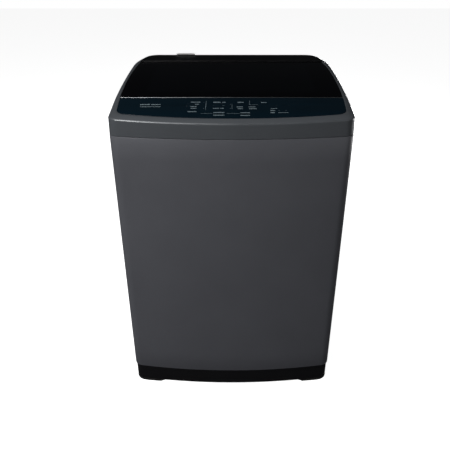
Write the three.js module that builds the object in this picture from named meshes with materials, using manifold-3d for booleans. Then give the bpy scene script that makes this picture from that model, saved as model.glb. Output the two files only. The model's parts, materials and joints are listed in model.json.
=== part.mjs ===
// Top load washing machine: painted steel cabinet, plastic top cover and base, glass lid hinged at the
// rear, and a tub with basket and pulsator that hangs from four sprung rods. Millimetres, +Z up, X to the
// right and Y to the rear. The origin is on the floor under the centre of the machine.
import * as THREE from "three";
import { mergeVertices } from "three/addons/utils/BufferGeometryUtils.js";
import Module from "manifold-3d";

// Overall
const halfWidth = 280;
const frontY = -290;
const rearPanelY = 280;
const rearEndY = 290;
const frontBow = 24.6;
const frontCorner = 22;
const rearCorner = 16;
const fit = 0.3;

// Heights above the floor
const baseBottom = 11;
const cabinetBottom = 58;
const coverBottom = 749.5;

// Sheet and wall thicknesses
const sheet = 1;
const plasticWall = 3;

// Top cover: heights above its lower edge, distances back from the front
const noseHeight = 29;
const panelFront = 18;
const panelRear = 133.5;
const panelSlope = 0.132;
const panelStart = 41;
const crownSlope = 0.1067;
const crownBend = 0.0001575;
const pocketHalf = 267.6;
const rearPocketHalf = 257.6;
const coverInset = 1;
const rearLeanStart = 420;

// Control panel and keys
const panelThickness = 3;
const panelCorner = 22;
const keyPlaces = [-97, -32, 22, 72, 113, 145];
const keyNames = ["power", "program", "water", "soak", "delay", "start"];
const keyY = 92;
const keyWidth = 22;
const keyDepth = 13;
const keyGap = 0.4;

// Lid
const lidHalf = 266.6;
const lidFront = 137.5;
const glassRear = 449;
const glassThickness = 4;
const glassDrop = 0.2;
const lidFrameDepth = 13;
const lidWellDepth = 17;
const windowHalf = 238;
const hingeY = 448;
const hingeDrop = 13;
const hingeRadius = 13;
const pinRadius = 3;
const pinFrom = 242;
const pinTo = 273.5;
const rearCoverStart = 463.5;
const rearCoverEnd = 565;
const rearCoverThickness = 3.2;
const wellRear = 462.7;
const gutterFront = 434;
const gutterDepth = 28;
const mouthHalfWidth = 205;
const mouthFront = 154;
const mouthRear = 398;

// Tub, basket and drive
const tubRadius = 243;
const tubBottom = 200;
const tubTop = 702;
const tubWall = 3;
const basketRadius = 219;
const basketBottom = 240;
const basketTop = 655;
const basketWall = 1.2;
const rodX = 228;
const rodY = 222;
const rodRadius = 5;
const lugHeight = 250;
const springBottom = 158;
const motorX = -150;
const pulleyHeight = 92;
const drivePulleyRadius = 75;
const motorPulleyRadius = 25;
const shaftRadius = 8;

// Fittings on the rear panel
const spigot = { x: 180, z: 120, outer: 16, inner: 12 };
const gland = { x: -190, z: 640, outer: 8.5, inner: 4.2 };
const inlet = { x: 170, z: 782, outer: 13.2, inner: 8 };
const accessHole = { half: 120, low: 110, high: 330 };

// Detergent drawer
const drawer = { left: -158, right: -68, front: frontY + mouthRear + 2, rear: frontY + 486 };
const drawerLow = coverBottom + 6;
const drawerHigh = coverBottom + 34;

// Feet
const footPlaces = [
  { name: "foot_front_left", x: -240, y: -235 },
  { name: "foot_front_right", x: 240, y: -235 },
  { name: "foot_rear_left", x: -235, y: 235 },
  { name: "foot_rear_right", x: 235, y: 235 },
];

const turnedSteps = 26;

const wasm = await Module();
wasm.setup();

function solid(geometry) {
  const bare = geometry.clone();
  bare.deleteAttribute("normal");
  bare.deleteAttribute("uv");
  const merged = mergeVertices(bare, 1e-4);
  const vertProperties = merged.attributes.position.array;
  const triVerts = new Uint32Array(merged.index.array);
  return new wasm.Manifold(new wasm.Mesh({ numProp: 3, vertProperties, triVerts }));
}

function geometryOf(body) {
  const mesh = body.getMesh();
  const geometry = new THREE.BufferGeometry();
  geometry.setAttribute("position", new THREE.BufferAttribute(new Float32Array(mesh.vertProperties), 3));
  geometry.setIndex(new THREE.BufferAttribute(mesh.triVerts, 1));
  geometry.computeVertexNormals();
  return geometry;
}

function join(first, ...others) {
  return geometryOf(others.reduce((sum, other) => sum.add(solid(other)), solid(first)));
}

function cut(first, ...others) {
  return geometryOf(others.reduce((rest, other) => rest.subtract(solid(other)), solid(first)));
}

function common(first, second) {
  return geometryOf(solid(first).intersect(solid(second)));
}

// A box given by its low and high corners.
function block(low, high) {
  const size = high.map((value, i) => value - low[i]);
  const centre = high.map((value, i) => (value + low[i]) / 2);
  return new THREE.BoxGeometry(...size).translate(...centre);
}

// An upright cylinder from one height to another.
function post(radius, x, y, low, high, segments = 14) {
  const geometry = new THREE.CylinderGeometry(radius, radius, high - low, segments);
  return geometry.rotateX(Math.PI / 2).translate(x, y, (low + high) / 2);
}

// A cylinder that lies along X, or along Y.
function barX(radius, low, high, y, z, segments = 12) {
  const geometry = new THREE.CylinderGeometry(radius, radius, high - low, segments);
  return geometry.rotateZ(Math.PI / 2).translate((low + high) / 2, y, z);
}

function barY(radius, x, low, high, z, segments = 18) {
  const geometry = new THREE.CylinderGeometry(radius, radius, high - low, segments);
  return geometry.translate(x, (low + high) / 2, z);
}

// A turned piece: radius and height pairs, counter-clockwise, round the upright axis.
function turned(profile, segments = turnedSteps) {
  const points = profile.map(([radius, height]) => new THREE.Vector2(radius, height));
  return new THREE.LatheGeometry([...points, points[0]], segments).rotateX(Math.PI / 2);
}

function extrude(shape, low, high, curveSegments = 8) {
  const options = { depth: high - low, bevelEnabled: false, curveSegments };
  return new THREE.ExtrudeGeometry(shape, options).translate(0, 0, low);
}

// A rounded rectangle between two corners.
function roundedShape(lowX, lowY, highX, highY, radius) {
  const shape = new THREE.Shape();
  shape.moveTo(lowX + radius, lowY);
  shape.lineTo(highX - radius, lowY);
  shape.absarc(highX - radius, lowY + radius, radius, -Math.PI / 2, 0);
  shape.lineTo(highX, highY - radius);
  shape.absarc(highX - radius, highY - radius, radius, 0, Math.PI / 2);
  shape.lineTo(lowX + radius, highY);
  shape.absarc(lowX + radius, highY - radius, radius, Math.PI / 2, Math.PI);
  shape.lineTo(lowX, lowY + radius);
  shape.absarc(lowX + radius, lowY + radius, radius, Math.PI, Math.PI * 1.5);
  return shape;
}

const bowAt = (x) => frontBow * (x / halfWidth) ** 2;

// Plan with a bowed front: the corner curves start where the bow ends.
function bowedShape(half, front, rear, cornerFront, cornerRear) {
  const edge = half - cornerFront;
  const edgeY = front + bowAt(edge);
  const shape = new THREE.Shape();
  shape.moveTo(-edge, edgeY);
  shape.quadraticCurveTo(0, 2 * front - edgeY, edge, edgeY);
  shape.quadraticCurveTo(half, front + bowAt(half), half, edgeY + cornerFront);
  shape.lineTo(half, rear - cornerRear);
  shape.quadraticCurveTo(half, rear, half - cornerRear, rear);
  shape.lineTo(cornerRear - half, rear);
  shape.quadraticCurveTo(-half, rear, -half, rear - cornerRear);
  shape.lineTo(-half, edgeY + cornerFront);
  shape.quadraticCurveTo(-half, front + bowAt(half), -edge, edgeY);
  return shape;
}

function planShape(inset) {
  const corner = Math.max(frontCorner - inset, 4);
  const cornerBack = Math.max(rearCorner - inset, 4);
  const rear = rearPanelY - sheet - fit - inset;
  return bowedShape(halfWidth - inset, frontY + inset, rear, corner, cornerBack);
}

// Height of the top surface above the cover's lower edge, at a distance back from the front.
function crown(back) {
  if (back <= panelRear) return panelStart + panelSlope * back;
  const past = back - panelRear;
  return panelStart + panelSlope * panelRear + crownSlope * past - crownBend * past * past;
}

// A prism along X whose section is given as distance back from the front and height over the cover's edge.
function alongX(section, lowX, highX, steps = 1) {
  const shape = new THREE.Shape(section.map(([back, height]) => new THREE.Vector2(back, height)));
  const options = { depth: highX - lowX, steps, bevelEnabled: false };
  const turn = new THREE.Matrix4().makeBasis(
    new THREE.Vector3(0, 1, 0),
    new THREE.Vector3(0, 0, 1),
    new THREE.Vector3(1, 0, 0),
  );
  const geometry = new THREE.ExtrudeGeometry(shape, options).applyMatrix4(turn);
  return geometry.translate(lowX, frontY, coverBottom);
}

// Points of the crown line from one distance to another, lowered by drop.
function crownLine(from, to, drop, steps = 8) {
  const backs = Array.from({ length: steps + 1 }, (_, i) => from + ((to - from) * i) / steps);
  return backs.map((back) => [back, crown(back) - drop]);
}

// A slab under the crown between two drops.
function crownSlab(from, to, halfX, dropTop, dropBottom, steps = 8) {
  const top = crownLine(from, to, dropTop, steps);
  const bottom = crownLine(from, to, dropBottom, steps);
  return alongX([...bottom, ...top.reverse()], -halfX, halfX);
}

// Bends the front of a prism that was made straight, so that it follows the bow.
function bowFront(geometry) {
  const place = geometry.attributes.position;
  for (let i = 0; i < place.count; i++) {
    const x = place.getX(i);
    const back = place.getY(i) - frontY;
    const height = place.getZ(i) - coverBottom;
    const bow = bowAt(x) * Math.min(1, Math.max(0, (panelRear - back) / (panelRear - panelFront)));
    const rise = back < panelFront ? 0 : (panelSlope * bow * Math.max(0, height)) / crown(back);
    place.setXYZ(i, x, back + frontY + bow, height + coverBottom + rise);
  }
  return geometry;
}

// Steel cabinet: front and sides in one sheet, with flanges turned in at the rear.
function cabinetShell() {
  const outer = extrude(planShape(0), cabinetBottom + fit, coverBottom - fit);
  const inner = extrude(planShape(sheet), cabinetBottom - 5, coverBottom + 5);
  const rearGap = block([-250, 260, cabinetBottom - 5], [250, 290, coverBottom + 5]);
  return cut(outer, inner, rearGap);
}

function rearPanel() {
  const low = [-264, rearPanelY - sheet, cabinetBottom + 4];
  const high = [264, rearPanelY, coverBottom - 4];
  const opening = roundedShape(-accessHole.half, accessHole.low, accessHole.half, accessHole.high, 30);
  const hole = extrude(opening, -30, 30, 6).rotateX(Math.PI / 2).translate(0, rearPanelY, 0);
  const spigotHole = barY(spigot.outer + 1, spigot.x, 260, 300, spigot.z);
  const glandHole = barY(gland.outer + 0.5, gland.x, 260, 300, gland.z);
  return cut(block(low, high), hole, spigotHole, glandHole);
}

function rearAccessCover() {
  const margin = 14;
  const half = accessHole.half + margin;
  const shape = roundedShape(-half, accessHole.low - margin, half, accessHole.high + margin, 36);
  const plate = extrude(shape, -3, 0, 6).rotateX(Math.PI / 2).translate(0, rearPanelY + fit, 0);
  const rib = extrude(roundedShape(-90, 150, 90, 290, 20), -6, 0, 6).rotateX(Math.PI / 2);
  return join(plate, rib.translate(0, rearPanelY + fit, 0));
}

// Base: a bowed ring with a plate in each corner that carries a foot.
function basePlinth() {
  const inset = 1.5;
  const outer = extrude(planShape(inset), baseBottom, cabinetBottom, 6);
  const inner = extrude(planShape(inset + plasticWall), baseBottom - 1, cabinetBottom + 1, 6);
  const ring = cut(outer, inner);
  const inside = extrude(planShape(inset + 1), 30, 36, 6);
  const plates = [];
  for (const side of [-1, 1]) {
    for (const end of [-1, 1]) {
      const corner = new THREE.Shape();
      corner.moveTo(side * 290, end * 300);
      corner.lineTo(side * 290, end * 170);
      corner.lineTo(side * 225, end * 170);
      corner.lineTo(side * 165, end * 225);
      corner.lineTo(side * 165, end * 300);
      plates.push(common(extrude(corner, 30, 36), inside));
    }
  }
  const holes = footPlaces.map(({ x, y }) => post(6.6, x, y, 20, 45));
  return cut(join(ring, ...plates), ...holes);
}

// Front foot: a pad flush with the base's front corner, on a threaded stud.
function frontFoot(side, x, y) {
  const inset = 2.5;
  const plan = extrude(planShape(inset), 0, baseBottom - fit);
  const section = new THREE.Shape();
  section.moveTo(side * 208, 0);
  section.lineTo(side * 290, 0);
  section.lineTo(side * 290, baseBottom);
  section.lineTo(side * 196, baseBottom);
  const wedge = extrude(section, 0, 70, 1).rotateX(Math.PI / 2).translate(0, frontY + 85, 0);
  const pad = common(plan, wedge);
  const stud = post(6, x, y, baseBottom - 2, 50);
  return join(pad, stud);
}

function rearFoot(x, y) {
  const pad = [[0, 0], [20, 0], [22, 2], [22, 8], [14, 10.5], [6, 11], [6, 50], [0, 50]];
  return turned(pad, 20).translate(x, y, 0);
}

// Top cover: crowned shell with a recess for the panel, a well for the lid and a mouth over the basket.
function topCover() {
  const section = [
    [570 - fit, fit],
    [570 - fit, 66],
    [566, 72],
    ...crownLine(panelRear, 560, 0, 7).reverse(),
    ...crownLine(panelFront, 100, 0, 2).reverse(),
    [6, 36],
    [coverInset + 1.5, 33.5],
    [-3, noseHeight - 4],
    [-3, fit],
  ];
  const plan = extrude(planShape(coverInset), coverBottom, coverBottom + 100, 6);
  const body = common(bowFront(alongX(section, -halfWidth, halfWidth, 8)), plan);
  const hollow = [
    [4, -5],
    [566, -5],
    [566, 60],
    ...crownLine(466, 560, 8, 3).reverse(),
    ...crownLine(425, 463, 32, 2).reverse(),
    ...crownLine(panelRear + 2, 423, 22, 4).reverse(),
    ...crownLine(30, panelRear, 9, 2).reverse(),
    [4, 24],
  ];
  const inner = extrude(planShape(4), coverBottom - 10, coverBottom + 90, 4);
  const cavity = common(bowFront(alongX(hollow, -halfWidth, halfWidth, 6)), inner);
  const well = crownSlab(panelRear + 0.8, wellRear, pocketHalf, -10, lidWellDepth, 5);
  const gutter = crownSlab(gutterFront, wellRear, pocketHalf, 0, gutterDepth, 2);
  const rearDepth = rearCoverThickness + 0.4;
  const rearPocket = crownSlab(wellRear - 1, rearCoverEnd + 0.5, rearPocketHalf, -10, rearDepth, 2);
  const shell = cut(body, cavity, well, gutter, rearPocket, panelPocket(), keyWindow());
  const collarOuter = roundedShape(
    -mouthHalfWidth - 3, frontY + mouthFront - 3, mouthHalfWidth + 3, frontY + mouthRear + 3, 43);
  const collarInner = roundedShape(
    -mouthHalfWidth, frontY + mouthFront, mouthHalfWidth, frontY + mouthRear, 40);
  const collarTop = crownSlab(panelRear + 3, 440, 250, lidWellDepth + 1, 90, 2);
  const collar = common(extrude(collarOuter, coverBottom - 6, coverBottom + 60, 6), collarTop);
  const mouth = extrude(collarInner, coverBottom - 40, coverBottom + 90, 6);
  const pinHoles = [-1, 1].map((side) => hingeBar(side, pinRadius + 0.4, pocketHalf - 5, pinTo + 1));
  const inletHole = barY(inlet.outer + 1, inlet.x, 255, 300, inlet.z);
  const gapLow = [drawer.left - 2.6, drawer.front - 9, drawerLow - 1.6];
  const drawerGap = block(gapLow, [drawer.right + 2.6, drawer.front + 2, drawerHigh + 1.6]);
  const shoulders = [-1, 1].map(rearShoulder);
  return cut(join(shell, collar), mouth, ...pinHoles, inletHole, drawerGap, ...shoulders);
}

// Wedge cut off each rear corner of the cover, which leans in more and more towards the rear.
function rearShoulder(side) {
  const outside = halfWidth + 4;
  const shape = new THREE.Shape();
  shape.moveTo(side * outside, 6);
  shape.lineTo(side * outside, 100);
  shape.lineTo(side * (halfWidth - 22), 100);
  const options = { depth: 160, steps: 4, bevelEnabled: false };
  const wedge = new THREE.ExtrudeGeometry(shape, options).rotateX(Math.PI / 2);
  wedge.translate(0, frontY + rearLeanStart + 160, coverBottom);
  const place = wedge.attributes.position;
  for (let i = 0; i < place.count; i++) {
    const along = Math.max(0.1, (place.getY(i) - frontY - rearLeanStart) / 145);
    place.setX(i, side * (outside - (outside - Math.abs(place.getX(i))) * along * along));
  }
  return wedge;
}

// The panel's own frame: tilted with the slope, its top surface at height 0.
function panelFrame() {
  const turn = new THREE.Matrix4().makeRotationX(Math.atan(panelSlope));
  const centre = (panelFront + panelRear) / 2;
  return turn.setPosition(0, frontY + centre, coverBottom + crown(centre));
}

const panelStretch = Math.hypot(1, panelSlope);
const panelHalfLength = ((panelRear - panelFront) / 2) * panelStretch;

function panelShape(grow) {
  const rear = panelHalfLength - 0.4 + grow;
  return bowedShape(pocketHalf - 0.4 + grow, -panelHalfLength - grow, rear, panelCorner, 3);
}

function panelPocket() {
  return extrude(panelShape(0.4), -panelThickness - 0.4, 8).applyMatrix4(panelFrame());
}

const keyLocalY = (keyY - (panelFront + panelRear) / 2) * panelStretch;

function keyWindow() {
  const shape = roundedShape(-120, keyLocalY - 16, 168, keyLocalY + 16, 4);
  return extrude(shape, -40, 0, 3).applyMatrix4(panelFrame());
}

function keyOutline(x, grow) {
  const halfX = keyWidth / 2 + grow;
  const halfY = keyDepth / 2 + grow;
  return roundedShape(x - halfX, keyLocalY - halfY, x + halfX, keyLocalY + halfY, 3 + grow);
}

function controlPanel() {
  const plate = extrude(panelShape(0), -panelThickness, 0);
  const holes = keyPlaces.map((x) => extrude(keyOutline(x, keyGap), -10, 5, 2));
  return cut(plate, ...holes);
}

function keyCap(x) {
  const cap = extrude(keyOutline(x, 0), -panelThickness - 1.2, 0.3, 2);
  const flange = extrude(keyOutline(x, 2), -panelThickness - 1.8, -panelThickness - 0.5, 1);
  return join(cap, flange);
}

function controlBoard() {
  const base = block([-116, keyLocalY - 13, -18], [164, keyLocalY + 13, -15]);
  const parts = keyPlaces.map((x) => block([x - 4, keyLocalY - 4, -16], [x + 4, keyLocalY + 4, -6.6]));
  return join(base, ...parts);
}

function lidGlass() {
  const slab = crownSlab(lidFront, glassRear, lidHalf, glassDrop, glassDrop + glassThickness, 6);
  const shape = roundedShape(-lidHalf, frontY + lidFront, lidHalf, frontY + glassRear, 6);
  return common(slab, extrude(shape, coverBottom, coverBottom + 100, 3));
}

// Lid frame: a rim under the glass that ends in a round nose about the hinge axis.
function lidFrame() {
  const glassFit = glassDrop + glassThickness + fit;
  const top = crownLine(lidFront, glassRear - 1, glassFit, 6).reverse();
  const under = crownLine(lidFront, hingeY - 3, lidFrameDepth, 6);
  const axis = crown(hingeY) - hingeDrop;
  const nose = Array.from({ length: 6 }, (_, i) => {
    const angle = ((80 * i) / 5) * (Math.PI / 180);
    return [hingeY + hingeRadius * Math.cos(angle), axis + hingeRadius * Math.sin(angle)];
  });
  const flat = [[hingeY + hingeRadius, axis - 3], ...nose, [glassRear + 0.4, axis + hingeRadius - 6]];
  const body = alongX([...under, [hingeY - 2, axis - 3], ...flat, ...top], -lidHalf, lidHalf);
  const window = roundedShape(-windowHalf, frontY + lidFront + 26, windowHalf, frontY + glassRear - 34, 20);
  const opening = extrude(window, coverBottom, coverBottom + 100, 4);
  const pinHoles = [-1, 1].map((side) => hingeBar(side, pinRadius + fit, pinFrom - 2, pinTo));
  return cut(body, opening, ...pinHoles);
}

function lidTrim() {
  return crownSlab(panelRear + 1.2, lidFront - fit, lidHalf, 0, 9, 1);
}

// A bar on the hinge line, on one side of the machine.
function hingeBar(side, radius, from, to) {
  const [low, high] = side < 0 ? [-to, -from] : [from, to];
  return barX(radius, low, high, frontY + hingeY, coverBottom + crown(hingeY) - hingeDrop);
}

function rearCover() {
  const half = rearPocketHalf - 0.4;
  const top = crownLine(rearCoverStart + 2, rearCoverEnd, 0, 4).reverse();
  const bottom = crownLine(rearCoverStart, rearCoverEnd, rearCoverThickness, 4);
  return alongX([...bottom, ...top, [rearCoverStart, crown(rearCoverStart) - 1.6]], -half, half);
}

// Light bracket behind the top cover that the drain hose hooks into when stored.
function hoseHanger() {
  const plate = [[570.2, 40], [577, 40], [577, 64]];
  const hook = [[579.5, 76.5], [577.5, 78.5], [573.5, 77], [570.2, 66]];
  return alongX([...plate, ...hook], -170, -112);
}

function inletValve() {
  const body = block([inlet.x - 24, 200, inlet.z - 16], [inlet.x + 24, 250, inlet.z + 8]);
  const coils = [-13, 13].map((x) => post(10, inlet.x + x, 222, inlet.z - 40, inlet.z - 10));
  const neck = barY(inlet.outer - 2, inlet.x, 240, 262, inlet.z);
  const bore = barY(inlet.inner, inlet.x, 245, 300, inlet.z);
  return cut(join(body, ...coils, neck), bore);
}

// Threaded water connection, three quarter inch.
function inletConnector() {
  const outer = barY(inlet.outer, inlet.x, 262.3, rearEndY, inlet.z);
  const rings = [0, 1].map((i) => barY(inlet.outer + 0.6, inlet.x, 283 + 3 * i, 284.4 + 3 * i, inlet.z));
  const bore = barY(inlet.inner, inlet.x, 250, rearEndY + 5, inlet.z);
  return cut(join(outer, ...rings), bore);
}

// Housing of the detergent drawer: a box under the deck behind the mouth, open to the front.
function drawerHousing() {
  const { left, right, front, rear } = drawer;
  const outer = block([left - 4, front + 3, drawerLow - 4], [right + 4, rear + 4, drawerHigh + 4]);
  const inner = block([left - 1, front - 9, drawerLow - 1], [right + 1, rear + 1, drawerHigh + 1]);
  return cut(outer, inner);
}

function detergentDrawer() {
  const { left, right, front, rear } = drawer;
  const outer = block([left, front - 2, drawerLow], [right, rear - 2, drawerHigh]);
  const inner = block([left + 2, front + 2, drawerLow + 2], [right - 2, rear - 4, drawerHigh + 5]);
  const face = block([left - 2, front - 5, drawerLow - 1], [right + 2, front - 1, drawerHigh + 1]);
  const lip = block([left + 15, front - 12, drawerLow - 1], [right - 15, front - 4, drawerLow + 3]);
  return join(cut(outer, inner), face, lip);
}

function lidSwitch() {
  const body = block([222, frontY + 175, coverBottom + 6], [246, frontY + 215, coverBottom + 32]);
  const tongue = block([230, frontY + 185, coverBottom + 30], [238, frontY + 205, coverBottom + 37]);
  return join(body, tongue);
}

function cordGland() {
  const flange = barY(13, gland.x, rearPanelY + fit, rearPanelY + 4, gland.z);
  const neck = barY(gland.outer, gland.x, 268, rearEndY - 1, gland.z);
  const bore = barY(gland.inner, gland.x, 260, rearEndY + 5, gland.z);
  return cut(join(flange, neck), bore);
}

function drainSpigot() {
  const flange = barY(spigot.outer + 8, spigot.x, rearPanelY + fit, rearPanelY + 3, spigot.z);
  const pipe = barY(spigot.outer, spigot.x, 245, rearEndY, spigot.z);
  const bore = barY(spigot.inner, spigot.x, 240, rearEndY + 5, spigot.z);
  return cut(join(flange, pipe), bore);
}

// Triangular bracket across an upper corner of the cabinet, which a suspension rod hangs from.
function cornerBracket(side, end) {
  const shape = new THREE.Shape();
  shape.moveTo(side * 290, end * 300);
  shape.lineTo(side * 290, end * 190);
  shape.lineTo(side * 190, end * 262);
  shape.lineTo(side * 190, end * 300);
  const plate = common(extrude(shape, 712, 716), extrude(planShape(sheet + fit), 700, 730));
  const seat = post(14, side * rodX, end * rodY, 708, 718);
  const hole = post(rodRadius + 1, side * rodX, end * rodY, 690, 730);
  return cut(join(plate, seat), hole);
}

function suspensionRod(side, end) {
  const head = [[0, 718.4], [10, 718.4], [10, 721], [7, 726], [0, 728]];
  const rod = post(rodRadius, 0, 0, springBottom - 8, 720, 16);
  const disc = post(19, 0, 0, springBottom - 8, springBottom - fit);
  return join(turned(head, 20), rod, disc).translate(side * rodX, end * rodY, 0);
}

// Spring round the lower end of a rod, between the rod's disc and the tub's lug.
function suspensionSpring(side, end) {
  const inner = rodRadius + 1.5;
  const top = lugHeight - 12 - fit;
  const outline = [[inner, springBottom], [16, springBottom], [16, top], [inner, top]];
  return turned(outline, 16).translate(side * rodX, end * rodY, 0);
}

// Outer tub with four lugs that stand on the springs.
function outerTub() {
  const r = tubRadius;
  const wall = turned([
    [30, tubBottom], [r - 25, tubBottom], [r - 6, tubBottom + 8], [r, tubBottom + 26], [r, tubTop],
    [r - tubWall, tubTop], [r - tubWall, tubBottom + 27], [r - 9, tubBottom + 11],
    [r - 26, tubBottom + 4], [60, tubBottom + 4], [46, tubBottom + 20], [30, tubBottom + 20],
  ]);
  const lugs = [];
  for (const side of [-1, 1]) {
    for (const end of [-1, 1]) {
      const reach = Math.hypot(rodX, rodY);
      const arm = block([r - 8, -22, lugHeight - 12], [reach, 22, lugHeight + 4]);
      const web = block([r - 6, -5, lugHeight], [reach - 22, 5, lugHeight + 60]);
      const turn = Math.atan2(end * rodY, side * rodX);
      lugs.push(join(arm, web).rotateZ(turn));
      lugs.push(post(24, side * rodX, end * rodY, lugHeight - 12, lugHeight + 4));
    }
  }
  const hollow = post(r - tubWall - 0.5, 0, 0, tubBottom + 30, tubTop + 30, turnedSteps);
  const holes = [];
  for (const side of [-1, 1]) {
    for (const end of [-1, 1]) holes.push(post(rodRadius + 2, side * rodX, end * rodY, 200, 300));
  }
  const drain = post(16, 0, 185, tubBottom - 20, tubBottom + 20);
  return cut(cut(join(wall, ...lugs), hollow), ...holes, drain);
}

function tubRing() {
  const r = tubRadius;
  return turned([
    [r + 1, tubTop + fit], [r + 4, tubTop - 8], [r + 6, tubTop - 8], [r + 6, tubTop + 6],
    [r - 6, tubTop + 12], [198, tubTop + 12],
    [198, tubTop + 4], [201, tubTop + 4], [201, tubTop + 9], [r - 6, tubTop + 9],
    [r - 4, tubTop + fit],
  ]);
}

function basket() {
  const r = basketRadius;
  return turned([
    [26, basketBottom], [r - 14, basketBottom], [r, basketBottom + 14], [r, basketTop],
    [r - basketWall, basketTop], [r - basketWall, basketBottom + 15], [r - 15, basketBottom + basketWall],
    [26, basketBottom + basketWall],
  ]);
}

function balanceRing() {
  const r = basketRadius;
  return turned([
    [r - 2, basketTop + fit], [r + 6, basketTop + 6], [r + 6, basketTop + 30], [r, basketTop + 36],
    [r - 24, basketTop + 36], [r - 30, basketTop + 28], [r - 30, basketTop + 6], [r - 24, basketTop + fit],
  ]);
}

function spinHub() {
  const flange = turned([
    [shaftRadius + 0.5, 222], [19, 222], [19, 230], [110, 232], [110, 238], [23, basketBottom - fit],
    [23, basketBottom + 6], [shaftRadius + 0.5, basketBottom + 6],
  ], 18);
  const arms = [0, 1, 2].map((i) => {
    return block([90, -18, 232], [basketRadius - 20, 18, 238]).rotateZ((i * Math.PI * 2) / 3);
  });
  return join(flange, ...arms);
}

// Lint filter: a shallow box with a bag frame on the basket's wall.
function lintFilter() {
  const outer = block([-34, 204, 330], [34, 216.6, 520]);
  const pocket = block([-28, 198, 340], [28, 212, 500]);
  const limit = post(basketRadius - basketWall - 0.6, 0, 0, 300, 560, turnedSteps);
  return common(cut(outer, pocket), limit);
}

function pulsator() {
  const low = basketBottom + 8;
  const disc = turned([
    [0, low], [150, low], [168, low + 6], [168, low + 9], [140, low + 10], [80, low + 14], [46, low + 30],
    [20, low + 40], [0, low + 41],
  ], 24);
  const vane = new THREE.Shape();
  vane.moveTo(24, low + 5);
  vane.lineTo(158, low + 5);
  vane.lineTo(158, low + 16);
  vane.lineTo(110, low + 28);
  vane.lineTo(40, low + 36);
  const vanes = [0, 1, 2, 3, 4, 5].map((i) => {
    const blade = new THREE.ExtrudeGeometry(vane, { depth: 12, bevelEnabled: false });
    return blade.rotateX(Math.PI / 2).translate(0, 6, 0).rotateZ((i * Math.PI) / 3);
  });
  const socket = post(shaftRadius + fit, 0, 0, low - 5, low + 16);
  return cut(join(disc, ...vanes), socket);
}

function pulsatorShaft() {
  return post(shaftRadius, 0, 0, 76, basketBottom + 22);
}

function drivePlate() {
  const shape = roundedShape(motorX - 70, -70, 90, 70, 24);
  const bore = post(50, 0, 0, 180, 200);
  return cut(extrude(shape, 191, 199.6, 4), bore);
}

function driveHousing() {
  return turned([
    [shaftRadius + 0.5, 112], [30, 112], [58, 122], [62, 130], [62, 172], [46, 182], [46, 196], [27, 198],
    [27, 220], [shaftRadius + 0.5, 220],
  ], 18);
}

function motor() {
  const body = turned([
    [8, 106], [40, 106], [60, 112], [62, 118], [62, 168], [58, 178], [30, 184], [30, 190.6], [0, 190.6],
    [0, 108], [8, 108],
  ], 18);
  const feet = [0, 1, 2, 3].map((i) => {
    return block([46, -8, 160], [60, 8, 190.6]).rotateZ(Math.PI / 4 + (i * Math.PI) / 2);
  });
  return join(body, ...feet).translate(motorX, 0, 0);
}

function pulley(radius, bore, low, high, segments) {
  const mid = pulleyHeight;
  return turned([
    [bore, low], [16, low], [16, mid - 8], [radius, mid - 8], [radius, mid - 6], [radius - 4, mid - 4],
    [radius - 4, mid + 4], [radius, mid + 6], [radius, mid + 8], [16, mid + 8], [16, high], [bore, high],
  ], segments);
}

function motorPulley() {
  const wheel = pulley(motorPulleyRadius, 4, 80, 104, 16);
  return join(wheel, post(5, 0, 0, 82, 107, 8)).translate(motorX, 0, 0);
}

// Belt round both pulleys: two arcs joined by straight runs.
function beltLoop(largeRadius, smallRadius) {
  const distance = -motorX;
  const tilt = Math.acos((largeRadius - smallRadius) / distance);
  const loop = new THREE.Path();
  loop.absarc(0, 0, largeRadius, -Math.PI + tilt, Math.PI - tilt);
  loop.absarc(motorX, 0, smallRadius, Math.PI - tilt, Math.PI + tilt);
  return loop;
}

function driveBelt() {
  const inner = beltLoop(drivePulleyRadius - 3, motorPulleyRadius - 3);
  const outer = beltLoop(drivePulleyRadius + 1, motorPulleyRadius + 1);
  const shape = new THREE.Shape(outer.getPoints(12));
  shape.holes.push(new THREE.Path(inner.getPoints(12).reverse()));
  return extrude(shape, pulleyHeight - 3.6, pulleyHeight + 3.6);
}

function drainValve() {
  const body = post(24, 0, 185, 152, tubBottom - fit);
  const spout = barY(12, 0, 190, 236, 168);
  const actuator = block([-62, 165, 158], [-20, 205, 186]);
  return join(body, spout, actuator);
}

const finish = {
  cabinet: { color: 0x45474b, roughness: 0.42, metalness: 0.35 },
  cover: { color: 0x3e4246, roughness: 0.35, metalness: 0.2 },
  base: { color: 0x0f0e10, roughness: 0.6, metalness: 0 },
  panel: { color: 0x0b181f, roughness: 0.12, metalness: 0 },
  glass: { color: 0x08090d, roughness: 0.06, metalness: 0 },
  trim: { color: 0x8c8f92, roughness: 0.25, metalness: 0.8 },
  black: { color: 0x0a0a0b, roughness: 0.4, metalness: 0 },
  grey: { color: 0xb9bcbe, roughness: 0.5, metalness: 0 },
  steel: { color: 0xb4b6b8, roughness: 0.3, metalness: 0.9 },
  zinc: { color: 0x9a9c9e, roughness: 0.45, metalness: 0.8 },
  white: { color: 0xd8dadb, roughness: 0.5, metalness: 0 },
  blue: { color: 0x5f7f9c, roughness: 0.35, metalness: 0 },
  rubber: { color: 0x151515, roughness: 0.8, metalness: 0 },
  board: { color: 0x1e4a2c, roughness: 0.6, metalness: 0 },
};

function named(name, geometry, look) {
  const mesh = new THREE.Mesh(geometry, new THREE.MeshStandardMaterial(finish[look]));
  mesh.name = name;
  return mesh;
}

function group(...items) {
  const holder = new THREE.Group();
  holder.add(...items);
  return holder;
}

function corners(make) {
  const made = [];
  for (const [end, endName] of [[-1, "front"], [1, "rear"]]) {
    for (const [side, sideName] of [[-1, "left"], [1, "right"]]) {
      made.push(make(side, end, endName + "_" + sideName));
    }
  }
  return made;
}

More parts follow.
